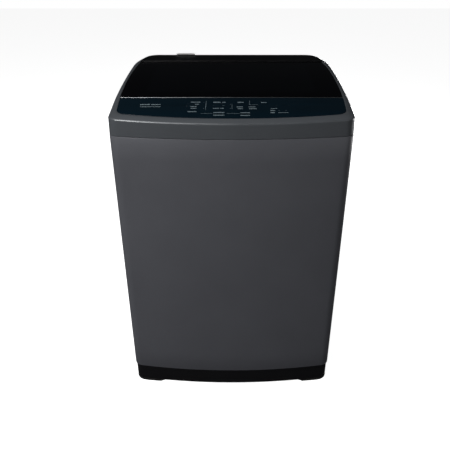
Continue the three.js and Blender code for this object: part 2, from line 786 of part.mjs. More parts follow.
function feet() {
  return footPlaces.map(({ name, x, y }) => {
    const shape = y < 0 ? frontFoot(Math.sign(x), x, y) : rearFoot(x, y);
    return named(name, shape, "rubber");
  });
}

function cabinetGroup() {
  return group(
    named("cabinet_shell", cabinetShell(), "cabinet"),
    named("rear_panel", rearPanel(), "zinc"),
    named("rear_access_cover", rearAccessCover(), "black"),
    named("base_plinth", basePlinth(), "base"),
    ...feet(),
    ...corners((side, end, place) => {
      return named("corner_bracket_" + place, cornerBracket(side, end), "zinc");
    }),
    ...corners((side, end, place) => {
      return named("suspension_rod_" + place, suspensionRod(side, end), "zinc");
    }),
    named("cord_gland", cordGland(), "black"),
    named("drain_spigot", drainSpigot(), "black"),
  );
}

function topGroup() {
  const panel = group(
    named("control_panel", controlPanel(), "panel"),
    named("control_board", controlBoard(), "board"),
    ...keyPlaces.map((x, i) => named("key_" + keyNames[i], keyCap(x), "panel")),
  );
  panel.applyMatrix4(panelFrame());
  return group(
    named("top_cover", topCover(), "cover"),
    panel,
    named("rear_cover", rearCover(), "black"),
    named("hose_hanger", hoseHanger(), "grey"),
    named("inlet_valve", inletValve(), "white"),
    named("inlet_connector", inletConnector(), "grey"),
    named("drawer_housing", drawerHousing(), "white"),
    named("detergent_drawer", detergentDrawer(), "grey"),
    named("lid_switch", lidSwitch(), "black"),
  );
}

function lidGroup() {
  return group(
    named("lid_glass", lidGlass(), "glass"),
    named("lid_frame", lidFrame(), "black"),
    named("lid_trim", lidTrim(), "trim"),
    named("hinge_pin_left", hingeBar(-1, pinRadius, pinFrom, pinTo), "steel"),
    named("hinge_pin_right", hingeBar(1, pinRadius, pinFrom, pinTo), "steel"),
  );
}

function tubGroup() {
  return group(
    named("outer_tub", outerTub(), "white"),
    named("tub_ring", tubRing(), "grey"),
    ...corners((side, end, place) => {
      return named("suspension_spring_" + place, suspensionSpring(side, end), "steel");
    }),
    named("drive_plate", drivePlate(), "zinc"),
    named("drive_housing", driveHousing(), "zinc"),
    named("motor", motor(), "black"),
    named("drive_belt", driveBelt(), "rubber"),
    named("drain_valve", drainValve(), "black"),
  );
}

function turningGroup() {
  return group(
    named("basket", basket(), "steel"),
    named("balance_ring", balanceRing(), "grey"),
    named("spin_hub", spinHub(), "zinc"),
    named("lint_filter", lintFilter(), "white"),
    named("pulsator", pulsator(), "blue"),
    named("pulsator_shaft", pulsatorShaft(), "steel"),
    named("drive_pulley", pulley(drivePulleyRadius, shaftRadius + fit, 78, 108, 20), "zinc"),
    named("motor_pulley", motorPulley(), "zinc"),
  );
}

export default group(cabinetGroup(), topGroup(), lidGroup(), tubGroup(), turningGroup());
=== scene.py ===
import json
import math

import bmesh
import bpy
from mathutils import Matrix, Vector


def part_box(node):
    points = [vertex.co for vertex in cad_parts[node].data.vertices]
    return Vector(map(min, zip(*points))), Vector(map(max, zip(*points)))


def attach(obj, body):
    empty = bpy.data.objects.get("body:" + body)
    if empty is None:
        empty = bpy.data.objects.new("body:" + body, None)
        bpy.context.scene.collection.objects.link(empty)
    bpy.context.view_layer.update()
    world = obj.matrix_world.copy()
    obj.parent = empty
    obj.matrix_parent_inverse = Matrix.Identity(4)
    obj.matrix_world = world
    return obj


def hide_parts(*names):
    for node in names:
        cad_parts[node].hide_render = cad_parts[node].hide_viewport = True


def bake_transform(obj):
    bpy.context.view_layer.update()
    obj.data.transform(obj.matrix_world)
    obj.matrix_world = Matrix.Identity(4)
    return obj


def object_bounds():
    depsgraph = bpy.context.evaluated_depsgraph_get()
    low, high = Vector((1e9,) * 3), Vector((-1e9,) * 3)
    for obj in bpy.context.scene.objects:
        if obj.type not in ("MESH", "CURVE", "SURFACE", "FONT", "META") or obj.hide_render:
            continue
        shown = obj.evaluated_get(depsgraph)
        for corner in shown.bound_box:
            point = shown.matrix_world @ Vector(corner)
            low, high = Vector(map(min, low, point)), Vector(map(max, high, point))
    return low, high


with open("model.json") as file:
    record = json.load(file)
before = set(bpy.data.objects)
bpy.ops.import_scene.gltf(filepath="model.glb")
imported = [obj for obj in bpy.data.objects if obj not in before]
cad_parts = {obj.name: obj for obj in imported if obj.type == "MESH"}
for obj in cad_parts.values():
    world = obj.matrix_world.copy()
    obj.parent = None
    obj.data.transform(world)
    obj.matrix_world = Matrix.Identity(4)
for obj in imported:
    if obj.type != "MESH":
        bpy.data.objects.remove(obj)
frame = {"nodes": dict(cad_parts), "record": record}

cadLow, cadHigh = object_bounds()
mm = 0.001
nodes = frame["nodes"]

cabinetLow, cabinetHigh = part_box("cabinet_shell")
coverLow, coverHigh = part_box("top_cover")
panelLow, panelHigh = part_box("control_panel")
glassLow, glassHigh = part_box("lid_glass")
rearCoverLow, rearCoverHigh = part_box("rear_cover")
hingeAt = Vector(next(j for j in frame["record"]["behaviour"]["joints"] if j["name"] == "lid_hinge")["pos_m"])

half = cabinetHigh.x
frontY = cabinetLow.y
seamZ = cabinetHigh.z + 0.3 * mm
cabinetRear = cabinetHigh.y
print("frame loaded:", len(nodes), "nodes")


def link(obj):
    bpy.context.scene.collection.objects.link(obj)
    return obj


def setInputs(node, values):
    for name, value in values.items():
        node.inputs[name].default_value = value


shot = {"lens": 41.72, "shiftX": -0.0147, "pitch": 28.826, "back": 1.1067, "above": 1.0845}
cameraData = bpy.data.cameras.new("shotCamera")
cameraData.lens = shot["lens"]
cameraData.sensor_width = 36.0
cameraData.shift_x = shot["shiftX"]
cameraData.clip_start = 0.01
cameraData.clip_end = 50.0
camera = bpy.data.objects.new("shotCamera", cameraData)
camera.location = (0.0, frontY - shot["back"], cabinetLow.z + shot["above"])
camera.rotation_euler = (math.radians(90.0 - shot["pitch"]), 0.0, 0.0)
link(camera)
bpy.context.scene.camera = camera
print("camera placed")


studio = {
    "floorSize": 9.0,
    "aim": (0.0, 0.0, 0.5),
    "key": (-1.75, -1.9, 2.4, 1.3, 1.3, 74.0),
    "fill": (2.4, -2.6, 1.2, 1.6, 1.6, 4.0),
    "top": (-0.9, -1.0, 2.9, 1.6, 0.9, 18.0),
    "back": (0.4, 2.7, 0.42, 1.8, 0.6, 38.0),
    "side": (2.9, 0.9, 0.36, 1.2, 0.5, 16.0),
    "around": 0.012,
}


def areaLight(name, x, y, z, width, height, power):
    data = bpy.data.lights.new(name, "AREA")
    data.shape = "RECTANGLE"
    data.size = width
    data.size_y = height
    data.energy = power
    light = bpy.data.objects.new(name, data)
    light.location = (x, y, z)
    light.rotation_euler = (Vector(studio["aim"]) - light.location).to_track_quat("-Z", "Y").to_euler()
    link(light)


def studioWorld():
    world = bpy.data.worlds.new("studioWorld")
    world.use_nodes = True
    bpy.context.scene.world = world
    tree = world.node_tree
    tree.nodes.clear()
    out = tree.nodes.new("ShaderNodeOutputWorld")
    mix = tree.nodes.new("ShaderNodeMixShader")
    seen = tree.nodes.new("ShaderNodeBackground")
    setInputs(seen, {"Color": (1.0, 1.0, 1.0, 1.0), "Strength": 1.0})
    soft = tree.nodes.new("ShaderNodeBackground")
    setInputs(soft, {"Color": (0.9, 0.95, 1.0, 1.0), "Strength": studio["around"]})
    path = tree.nodes.new("ShaderNodeLightPath")
    tree.links.new(path.outputs["Is Camera Ray"], mix.inputs["Fac"])
    tree.links.new(soft.outputs[0], mix.inputs[1])
    tree.links.new(seen.outputs[0], mix.inputs[2])
    tree.links.new(mix.outputs[0], out.inputs["Surface"])


def studioFloor():
    size = studio["floorSize"]
    mesh = bpy.data.meshes.new("studioFloor")
    corners = [(-size, -size, 0.0), (size, -size, 0.0), (size, size, 0.0), (-size, size, 0.0)]
    mesh.from_pydata(corners, [], [(0, 1, 2, 3)])
    floor = bpy.data.objects.new("studioFloor", mesh)
    floor.location.z = cadLow.z - 0.2 * mm
    link(floor)
    material = bpy.data.materials.new("studioFloor")
    material.use_nodes = True
    tree = material.node_tree
    shader = tree.nodes["Principled BSDF"]
    setInputs(shader, {"Base Color": (0.8, 0.8, 0.8, 1.0), "Roughness": 0.9,
                       "Emission Color": (1.0, 1.0, 1.0, 1.0), "Emission Strength": 0.92})
    dim = tree.nodes.new("ShaderNodeBsdfDiffuse")
    dim.inputs["Color"].default_value = (0.10, 0.10, 0.11, 1.0)
    path = tree.nodes.new("ShaderNodeLightPath")
    mix = tree.nodes.new("ShaderNodeMixShader")
    tree.links.new(path.outputs["Is Camera Ray"], mix.inputs["Fac"])
    tree.links.new(dim.outputs[0], mix.inputs[1])
    tree.links.new(shader.outputs[0], mix.inputs[2])
    tree.links.new(mix.outputs[0], tree.nodes["Material Output"].inputs["Surface"])
    mesh.materials.append(material)


studioWorld()
studioFloor()
for lightName in ("key", "fill", "top", "back", "side"):
    areaLight(lightName + "Light", *studio[lightName])
bpy.context.scene.view_settings.view_transform = "Standard"
print("studio lit")


def nodeChain(material):
    material.use_nodes = True
    tree = material.node_tree
    return tree, tree.nodes["Principled BSDF"]


def noise(tree, scale, detail=3.0, rough=0.5, stretch=(1.0, 1.0, 1.0)):
    coords = tree.nodes.new("ShaderNodeTexCoord")
    mapping = tree.nodes.new("ShaderNodeMapping")
    mapping.inputs["Scale"].default_value = stretch
    texture = tree.nodes.new("ShaderNodeTexNoise")
    setInputs(texture, {"Scale": scale, "Detail": detail, "Roughness": rough})
    tree.links.new(coords.outputs["Object"], mapping.inputs["Vector"])
    tree.links.new(mapping.outputs[0], texture.inputs["Vector"])
    return texture.outputs["Fac"]


def spread(tree, value, low, high, fromLow=0.3, fromHigh=0.7):
    ranger = tree.nodes.new("ShaderNodeMapRange")
    setInputs(ranger, {"From Min": fromLow, "From Max": fromHigh, "To Min": low, "To Max": high})
    tree.links.new(value, ranger.inputs["Value"])
    return ranger.outputs[0]


def blendColors(tree, factor, dark, light):
    mixer = tree.nodes.new("ShaderNodeMix")
    mixer.data_type = "RGBA"
    tree.links.new(factor, mixer.inputs["Factor"])
    for socket, value in (("A", dark), ("B", light)):
        target = [s for s in mixer.inputs if s.name == socket and s.type == "RGBA"][0]
        if isinstance(value, bpy.types.NodeSocket):
            tree.links.new(value, target)
        else:
            target.default_value = (*value, 1.0)
    return [s for s in mixer.outputs if s.type == "RGBA"][0]


def addBump(tree, shader, height, strength, distance):
    bump = tree.nodes.new("ShaderNodeBump")
    setInputs(bump, {"Strength": strength, "Distance": distance})
    tree.links.new(height, bump.inputs["Height"])
    tree.links.new(bump.outputs[0], shader.inputs["Normal"])


# One recipe for mouldings, paints and metals: cloudy tone, a fine grain, uneven gloss and a surface bump.
def makeFinish(name, look):
    material = bpy.data.materials.new(name)
    tree, shader = nodeChain(material)
    base = look["color"]
    vary = look.get("vary", 0.06)
    cloud = noise(tree, look.get("cloudScale", 7.0), 4.0)
    tone = spread(tree, cloud, 0.0, 1.0)
    dark = [c * (1.0 - vary) for c in base]
    light = [c * (1.0 + vary) for c in base]
    color = blendColors(tree, tone, dark, light)
    if "speckle" in look:
        fine = noise(tree, look["speckleScale"], 2.0, 0.6)
        gate = spread(tree, fine, 0.0, look["speckleShare"], 0.58, 0.72)
        color = blendColors(tree, gate, color, look["speckle"])
    tree.links.new(color, shader.inputs["Base Color"])
    rough = look["rough"]
    swing = look.get("roughSwing", 0.05)
    uneven = noise(tree, look.get("roughScale", 30.0), 5.0, 0.6, look.get("stretch", (1.0, 1.0, 1.0)))
    tree.links.new(spread(tree, uneven, rough - swing, rough + swing), shader.inputs["Roughness"])
    setInputs(shader, {"Metallic": look.get("metal", 0.0), "Coat Weight": look.get("coat", 0.0),
                       "Coat Roughness": look.get("coatRough", 0.1),
                       "Specular IOR Level": look.get("specular", 0.5)})
    grain = noise(tree, look.get("grainScale", 900.0), 3.0, 0.6, look.get("stretch", (1.0, 1.0, 1.0)))
    addBump(tree, shader, grain, look.get("grain", 0.15), look.get("grainDepth", 0.2 * mm))
    return material


finishes = {
    "cabinetPaint": {"color": (0.110, 0.113, 0.126), "rough": 0.46, "metal": 0.25, "coat": 0.2, "coatRough": 0.3,
                     "speckle": (0.21, 0.215, 0.235), "speckleScale": 1900.0, "speckleShare": 0.35,
                     "grain": 0.05, "grainScale": 420.0, "vary": 0.04},
    "coverPaint": {"color": (0.082, 0.089, 0.097), "rough": 0.34, "metal": 0.15, "coat": 0.6, "coatRough": 0.14,
                   "speckle": (0.16, 0.17, 0.18), "speckleScale": 2100.0, "speckleShare": 0.3,
                   "grain": 0.04, "grainScale": 380.0, "vary": 0.05},
    "baseMoulding": {"color": (0.0022, 0.0021, 0.0028), "specular": 0.3, "rough": 0.6, "grain": 0.5,
                     "grainScale": 1300.0, "vary": 0.2},
    "footRubber": {"color": (0.004, 0.004, 0.004), "rough": 0.8, "grain": 0.6, "grainScale": 700.0, "vary": 0.25},
    "panelGloss": {"color": (0.0022, 0.0075, 0.0125), "rough": 0.14, "coat": 0.15, "coatRough": 0.06,
                   "specular": 0.25, "grain": 0.02, "grainScale": 120.0, "roughSwing": 0.03, "vary": 0.12},
    "blackMoulding": {"color": (0.0022, 0.0022, 0.0026), "rough": 0.36, "grain": 0.25, "grainScale": 1500.0,
                      "specular": 0.2, "vary": 0.2},
    "paleMoulding": {"color": (0.5, 0.5, 0.5), "rough": 0.4, "grain": 0.2, "grainScale": 1200.0},
    # Greyer than the black cover plastic: painted highlight along the rear cover's front seam.
    "seamLipPaintedHighlight": {"color": (0.014, 0.014, 0.015), "rough": 0.3, "specular": 0.4, "grain": 0.05, "vary": 0.1},
    "greyMoulding": {"color": (0.34, 0.345, 0.35), "rough": 0.45, "grain": 0.3, "grainScale": 1200.0},
    "whiteMoulding": {"color": (0.66, 0.67, 0.66), "rough": 0.42, "grain": 0.25, "grainScale": 1000.0},
    "tubMoulding": {"color": (0.47, 0.48, 0.47), "rough": 0.5, "grain": 0.35, "grainScale": 500.0, "vary": 0.05},
    "ringMoulding": {"color": (0.40, 0.42, 0.43), "rough": 0.38, "grain": 0.2, "grainScale": 900.0},
    "pulsatorMoulding": {"color": (0.25, 0.31, 0.37), "rough": 0.3, "coat": 0.3, "grain": 0.12,
                         "grainScale": 600.0},
    "trimMetal": {"color": (0.19, 0.195, 0.20), "rough": 0.30, "metal": 0.9, "grain": 0.01, "grainScale": 900.0,
                  "roughSwing": 0.01, "vary": 0.03},
    "zincSheet": {"color": (0.44, 0.45, 0.47), "rough": 0.42, "metal": 0.85, "cloudScale": 60.0, "vary": 0.16,
                  "roughSwing": 0.12, "roughScale": 70.0, "grain": 0.08},
    "plainSteel": {"color": (0.50, 0.50, 0.51), "rough": 0.32, "metal": 0.95, "roughSwing": 0.08, "grain": 0.1},
    "drumSteel": {"color": (0.58, 0.59, 0.60), "rough": 0.24, "metal": 1.0, "grain": 0.25, "grainScale": 500.0,
                  "stretch": (1.0, 1.0, 0.04), "roughSwing": 0.05},
    "castAluminium": {"color": (0.46, 0.46, 0.47), "rough": 0.5, "metal": 0.85, "grain": 0.6, "grainScale": 500.0},
    "motorCase": {"color": (0.022, 0.022, 0.024), "rough": 0.45, "metal": 0.3, "grain": 0.3, "grainScale": 300.0},
    "beltRubber": {"color": (0.012, 0.012, 0.012), "rough": 0.7, "grain": 0.5, "grainScale": 800.0},
    "circuitBoard": {"color": (0.016, 0.075, 0.028), "rough": 0.4, "coat": 0.4, "grain": 0.3, "grainScale": 350.0},
}
made = {name: makeFinish(name, look) for name, look in finishes.items()}


def markInk():
    material = bpy.data.materials.new("markInk")
    tree, shader = nodeChain(material)
    worn = noise(tree, 500.0, 2.0)
    color = blendColors(tree, spread(tree, worn, 0.0, 1.0), (0.12, 0.16, 0.18), (0.20, 0.25, 0.27))
    tree.links.new(color, shader.inputs["Base Color"])
    shader.inputs["Roughness"].default_value = 0.45
    return material


def mathStep(tree, operation, *values):
    step = tree.nodes.new("ShaderNodeMath")
    step.operation = operation
    for socket, value in zip(step.inputs, values):
        if isinstance(value, bpy.types.NodeSocket):
            tree.links.new(value, socket)
        else:
            socket.default_value = value
    return step.outputs[0]


# Dark tempered glass: a printed black border round a slightly clearer smoky middle.
def lidGlassFinish(window):
    material = bpy.data.materials.new("lidGlass")
    tree, shader = nodeChain(material)
    coords = tree.nodes.new("ShaderNodeTexCoord")
    parts = tree.nodes.new("ShaderNodeSeparateXYZ")
    tree.links.new(coords.outputs["Object"], parts.inputs[0])
    gates = []
    for axis, centre, reach in (("X", 0.0, window["halfX"]), ("Y", window["middleY"], window["halfY"])):
        shifted = mathStep(tree, "SUBTRACT", parts.outputs[axis], centre)
        gates.append(spread(tree, mathStep(tree, "ABSOLUTE", shifted), 1.0, 0.0, reach - window["soft"], reach))
    both = mathStep(tree, "MULTIPLY", *gates)
    clear = mathStep(tree, "MULTIPLY", both, spread(tree, noise(tree, 5.0, 3.0), 0.75, 1.0))
    color = blendColors(tree, clear, (0.0006, 0.0007, 0.0012), (0.0011, 0.0013, 0.0020))
    tree.links.new(color, shader.inputs["Base Color"])
    smear = noise(tree, 14.0, 4.0)
    tree.links.new(spread(tree, smear, 0.05, 0.10), shader.inputs["Roughness"])
    shader.inputs["Specular IOR Level"].default_value = 0.22
    ripple = noise(tree, 22.0, 2.0)
    addBump(tree, shader, ripple, 0.02, 0.3 * mm)
    return material


made["markInk"] = markInk()
made["lidGlass"] = lidGlassFinish({
    "halfX": 0.215, "soft": 0.012,
    "middleY": (glassLow.y + glassHigh.y) / 2, "halfY": (glassHigh.y - glassLow.y) / 2 - 28 * mm,
})
print("finishes mixed:", len(made))


def addObject(name, mesh, material):
    mesh.materials.clear()
    mesh.materials.append(made[material])
    obj = bpy.data.objects.new(name, mesh)
    return link(obj)


def smooth(obj, angle=35.0):
    for face in obj.data.polygons:
        face.use_smooth = True
    edges = bmesh.new()
    edges.from_mesh(obj.data)
    limit = math.radians(angle)
    for edge in edges.edges:
        edge.smooth = not (edge.is_manifold and edge.calc_face_angle(0.0) > limit)
    edges.to_mesh(obj.data)
    edges.free()
    return obj


def applyModifiers(obj):
    bpy.context.view_layer.update()
    result = bpy.data.meshes.new_from_object(obj.evaluated_get(bpy.context.evaluated_depsgraph_get()))
    obj.modifiers.clear()
    obj.data = result
    return obj


def bevel(obj, width, segments=3, angle=40.0):
    modifier = obj.modifiers.new("bevel", "BEVEL")
    modifier.width = width
    modifier.segments = segments
    modifier.limit_method = "ANGLE"
    modifier.angle_limit = math.radians(angle)
    modifier.harden_normals = False
    return obj


def thicken(obj, amount):
    modifier = obj.modifiers.new("thickness", "SOLIDIFY")
    modifier.thickness = amount
    modifier.offset = -1.0
    modifier.use_even_offset = True
    return applyModifiers(obj)


# Joins rings of points that all have the same number of stations.
def loft(name, rings, material, closed=True, capped=False):
    count = len(rings[0])
    verts = [p for ring in rings for p in ring]
    faces = []
    for i in range(len(rings) - 1):
        low = i * count
        high = low + count
        for j in range(count if closed else count - 1):
            k = (j + 1) % count
            faces.append((low + j, low + k, high + k, high + j))
    if capped:
        faces.append(tuple(reversed(range(count))))
        faces.append(tuple(range((len(rings) - 1) * count, len(rings) * count)))
    mesh = bpy.data.meshes.new(name)
    mesh.from_pydata([tuple(v) for v in verts], [], faces)
    mesh.validate()
    return addObject(name, mesh, material)


# Turns every face outwards; points closer than merge become one.
def fixNormals(obj, merge=0.0):
    edited = bmesh.new()
    edited.from_mesh(obj.data)
    if merge:
        bmesh.ops.remove_doubles(edited, verts=edited.verts, dist=merge)
    bmesh.ops.recalc_face_normals(edited, faces=edited.faces)
    edited.to_mesh(obj.data)
    edited.free()
    return obj


def solidLoft(name, rings, material):
    return fixNormals(loft(name, rings, material, capped=True))


def place(obj, body, slot, *replaced):
    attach(obj, body)
    if replaced:
        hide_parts(*replaced)
    return obj


# Cuts one piece with others that are only tools and are then removed.
def carve(obj, *tools):
    for tool in tools:
        cutter = obj.modifiers.new("cut", "BOOLEAN")
        cutter.operation = "DIFFERENCE"
        cutter.solver = "EXACT"
        cutter.object = tool
    applyModifiers(obj)
    for tool in tools:
        bpy.data.objects.remove(tool)
    return obj


def boxTool(low, high):
    xs, ys, zs = zip(low, high)
    bottom = [Vector((x, y, zs[0])) for x, y in ((xs[0], ys[0]), (xs[1], ys[0]), (xs[1], ys[1]), (xs[0], ys[1]))]
    top = [Vector((p.x, p.y, zs[1])) for p in bottom]
    return solidLoft("tool", [bottom, top], "blackMoulding")


def curvePoints(start, control, end, count):
    points = []
    for i in range(1, count + 1):
        t = i / count
        a = start.lerp(control, 0.58)
        b = end.lerp(control, 0.58)
        u = 1.0 - t
        points.append(start * u**3 + a * 3 * u * u * t + b * 3 * u * t * t + end * t**3)
    return points


def linePoints(start, end, count):
    return [start.lerp(end, (i + 1) / count) for i in range(count)]


bow = 24.6 * mm


def bowAt(x):
    return bow * (x / half) ** 2


ringSteps = {"rearCorner": 8, "side": 28, "frontCorner": 10, "front": 48, "rear": 24}


# Plan of a piece that follows the cabinet: rear left, down the left side, bowed front, right side, rear.
def planRing(side, front, rear, cornerFront, cornerRear, bend=1.0, squeeze=None):
    edge = side - cornerFront
    edgeY = front + bowAt(edge) * bend
    apexY = front + bowAt(side) * bend
    steps = ringSteps
    ring = [Vector((-side + cornerRear, rear))]
    ring += curvePoints(ring[-1], Vector((-side, rear)), Vector((-side, rear - cornerRear)), steps["rearCorner"])
    ring += linePoints(ring[-1], Vector((-side, edgeY + cornerFront)), steps["side"])
    ring += curvePoints(ring[-1], Vector((-side, apexY)), Vector((-edge, edgeY)), steps["frontCorner"])
    for i in range(1, steps["front"] + 1):
        x = -edge + 2 * edge * i / steps["front"]
        ring.append(Vector((x, front + bowAt(x) * bend)))
    frontEnd = edgeY + cornerFront
    ring += curvePoints(ring[-1], Vector((side, apexY)), Vector((side, frontEnd)), steps["frontCorner"])
    ring += linePoints(ring[-1], Vector((side, rear - cornerRear)), steps["side"])
    ring += curvePoints(ring[-1], Vector((side, rear)), Vector((side - cornerRear, rear)), steps["rearCorner"])
    ring += linePoints(ring[-1], Vector((-side + cornerRear, rear)), steps["rear"])[:-1]
    if squeeze:
        ring = [Vector((p.x * squeeze(p.y), p.y)) for p in ring]
    return ring


def atHeight(ring, z):
    return [Vector((p.x, p.y, z(p) if callable(z) else z)) for p in ring]


crownLine = {"start": 41.0 * mm, "slope": 0.132, "breakAt": 133.5 * mm, "rise": 0.1067, "bend": 0.1575}


def crown(y):
    back = y - frontY
    if back <= crownLine["breakAt"]:
        return seamZ + crownLine["start"] + crownLine["slope"] * back
    past = back - crownLine["breakAt"]
    top = crownLine["start"] + crownLine["slope"] * crownLine["breakAt"]
    return seamZ + top + crownLine["rise"] * past - crownLine["bend"] * past * past


cabinet = {"corner": 22 * mm, "rearCorner": 15 * mm, "hem": 1.2 * mm, "sheet": 0.9 * mm, "flange": 30 * mm}


def buildCabinet():
    low, high = cabinetLow.z, cabinetHigh.z
    rings = []
    hem = cabinet["hem"]
    edge = [(hem + 8 * mm, 0.6 * mm), (hem, 0.05 * mm), (0.35 * mm, 0.35 * mm), (0.0, 1.3 * mm)]
    profile = [(inset, low + up) for inset, up in edge]
    profile += [(0.0, low + (high - low) * i / 12) for i in range(1, 12)]
    profile += [(inset, high - up) for inset, up in reversed(edge)]
    for inset, z in profile:
        ring = planRing(half - inset, frontY + inset, cabinetRear - inset, cabinet["corner"] - inset / 2,
                        cabinet["rearCorner"] - inset / 2)
        keep = ring[:1 - ringSteps["rear"]]
        side = Vector((-half + cabinet["flange"], cabinetRear - inset))
        far = Vector((half - cabinet["flange"], cabinetRear - inset))
        rings.append(atHeight([side] + keep + [far], z))
    shell = loft("cabinetSkin", rings, "cabinetPaint", closed=False)
    thicken(shell, cabinet["sheet"])
    smooth(shell, 30)
    return place(shell, "cabinet", "cabinet_paint", "cabinet_shell")


buildCabinet()
print("cabinet skinned")


plinth = {"inset": 1.5 * mm, "bottom": 7.5 * mm, "corner": 22 * mm, "footCorner": 21 * mm, "rearCorner": 14 * mm,
          "wall": 2.2 * mm, "footInner": 208 * mm, "footRamp": 12 * mm, "footDepth": 84 * mm}


def skirtRing(off, share):
    corner = plinth["corner"] + (plinth["footCorner"] - plinth["corner"]) * share
    return planRing(half - off, frontY + off, cabinetRear - off, corner, plinth["rearCorner"])


def buildPlinth():
    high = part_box("base_plinth")[1].z
    low = plinth["bottom"]
    inset = plinth["inset"]
    profile = [(9.0, high - 0.4 * mm, 0.0), (0.9, high - 0.2 * mm, 0.0), (0.2, high - 0.9 * mm, 0.0),
               (0.0, high - 2.2 * mm, 0.0), (0.0, high - 5.0 * mm, 0.05), (0.8, high - 6.0 * mm, 0.1),
               (0.9, high - 30 * mm, 0.6), (1.0, low + 6 * mm, 0.9), (1.3, low + 2.0 * mm, 0.97),
               (1.9, low + 0.6 * mm, 1.0), (3.2, low + 0.05 * mm, 1.0), (6.0, low, 1.0)]
    rings = [atHeight(skirtRing(inset + off * mm, share), z) for off, z, share in reversed(profile)]
    skirt = loft("baseSkirt", rings, "baseMoulding")
    thicken(skirt, plinth["wall"])
    smooth(skirt, 32)
    return place(skirt, "cabinet", "base_plastic", "base_plinth")


# Front foot: a pad flush under the skirt's corner, ramped on its inner side, on a threaded stud.
def buildFrontFoot(side, node):
    backY = frontY + plinth["footDepth"]

    def outline(off, inner):
        ring = [p for p in skirtRing(off, 1.0) if p.y < backY and p.x * side > inner]
        ring.sort(key=lambda p: math.atan2(p.y - frontY - 60 * mm, (p.x * side - inner)))
        return [Vector((inner * side, frontY + bowAt(inner) + off))] + ring + [
            Vector((ring[-1].x, backY)), Vector((inner * side, backY))]
    inner = plinth["footInner"]
    padTop = plinth["bottom"] - 0.3 * mm
    rings = [(4.0, 3 * mm, 0.0), (2.4, 0.6 * mm, 0.4 * mm), (1.9, 0.0, 2 * mm), (1.7, -plinth["footRamp"], padTop)]
    base = outline(5.0 * mm, inner)
    centre = Vector((inner * side * 1.16, frontY + 45 * mm))
    lofted = []
    for off, shift, z in rings:
        grow = (5.0 - off) * mm
        ring = []
        for p in base:
            away = (p - centre).normalized()
            q = p + away * grow
            if abs(p.x - inner * side) < 1e-6:
                q.x += side * shift
            ring.append(q)
        lofted.append(atHeight(ring, z))
    place(smooth(solidLoft(node + "Pad", lofted, "footRubber"), 40), "cabinet", "foot_rubber", node)
    studRows = [(0.0, 5.0), (6.0, 5.0), (6.0, 9.0)] + threadRows(9.0, 49.0, 6.0, 1.5) + [(0.0, 50.0)]
    stud = turnedPiece(node + "Stud", studRows, (240.0 * side, -235.0), "plainSteel")
    place(stud, "cabinet", "foot_rubber")


def threadRows(low, high, radius, pitch):
    rows = []
    z = low
    while z < high:
        rows += [(radius, z), (radius - 0.8, z + pitch / 2)]
        z += pitch
    return rows


def turnSteps(count):
    return [math.tau * i / count for i in range(count)]


# Points round an upright axis, in millimetres; the height may depend on the angle.
def ringAt(radius, z, angles, x=0.0, y=0.0):
    height = z if callable(z) else lambda a: z
    return [Vector(((x + radius * math.cos(a)) * mm, (y + radius * math.sin(a)) * mm, height(a) * mm))
            for a in angles]


# A piece turned round an upright axis, from radius and height pairs in millimetres.
def turnedPiece(name, profile, centre, material, steps=48):
    rings = [ringAt(max(radius, 0.02), z, turnSteps(steps), *centre) for radius, z in profile]
    return smooth(solidLoft(name, rings, material), 38)


buildPlinth()
buildFrontFoot(-1, "foot_front_left")
buildFrontFoot(1, "foot_front_right")
print("base skirt made")


cover = {
    "noseZ": 32.6 * mm, "noseRise": 0.21, "shoulderDrop": 2.8 * mm, "frontDrop": 11.0 * mm, "fade": 60 * mm,
    "lean": 0.2 * mm, "panelFront": 18 * mm, "pocketCorner": 25 * mm, "corner": 22 * mm,
    "pocketHalf": 270.4 * mm, "widestAt": 265 * mm, "frontCurve": 0.20, "rearCurve": 0.135,
    "narrowFrom": 420 * mm, "narrowBend": 740 * mm, "wall": 2.4 * mm, "pocketRear": 565.5 * mm,
    "shoulder": ((0.015, 0.08), (0.05, 0.20), (0.10, 0.30), (0.17, 0.385), (0.26, 0.46), (0.5, 0.66),
                 (0.75, 0.855)),  # share of the way in, share of the way up
}


def shoulderZ(y):
    back = max(0.0, y - frontY)
    side = crown(y) - cover["shoulderDrop"] - cover["frontDrop"] * math.exp(-(back - 20 * mm) / cover["fade"])
    nose = seamZ + cover["noseZ"] + cover["noseRise"] * min(back, 24 * mm)
    gap = 2.0 * mm
    return nose + gap * math.log1p(math.exp(min(40.0, (side - nose) / gap)))


def rearSqueeze(amount):
    def factor(y):
        past = max(0.0, y - frontY - cover["narrowFrom"])
        return 1.0 - amount * past * past / cover["narrowBend"] / half
    return factor


# Half width of the black area at a place along the machine: widest in the middle of the lid.
def pocketHalf(y):
    off = y - frontY - cover["widestAt"]
    curve = cover["frontCurve"] if off < 0 else cover["rearCurve"]
    outer = half * rearSqueeze(1.0)(y) - 7.0 * mm
    return min(cover["pocketHalf"] - curve * off * off, outer + 1.5 * mm)


def followSides(ring, side, gap):
    return [Vector((p.x * (pocketHalf(p.y) - gap) / side, p.y)) for p in ring]


def coverRing(inset, share):
    return planRing(half - inset, frontY + inset, coverHigh.y - inset, cover["corner"] + 4 * mm * share,
                    14 * mm + 16 * mm * share, 1.0, rearSqueeze(share))


def pocketRing(grow):
    ring = planRing(half, frontY + cover["panelFront"] - grow, frontY + cover["pocketRear"] + grow,
                    cover["pocketCorner"], 24 * mm)
    return followSides(ring, half, -grow)


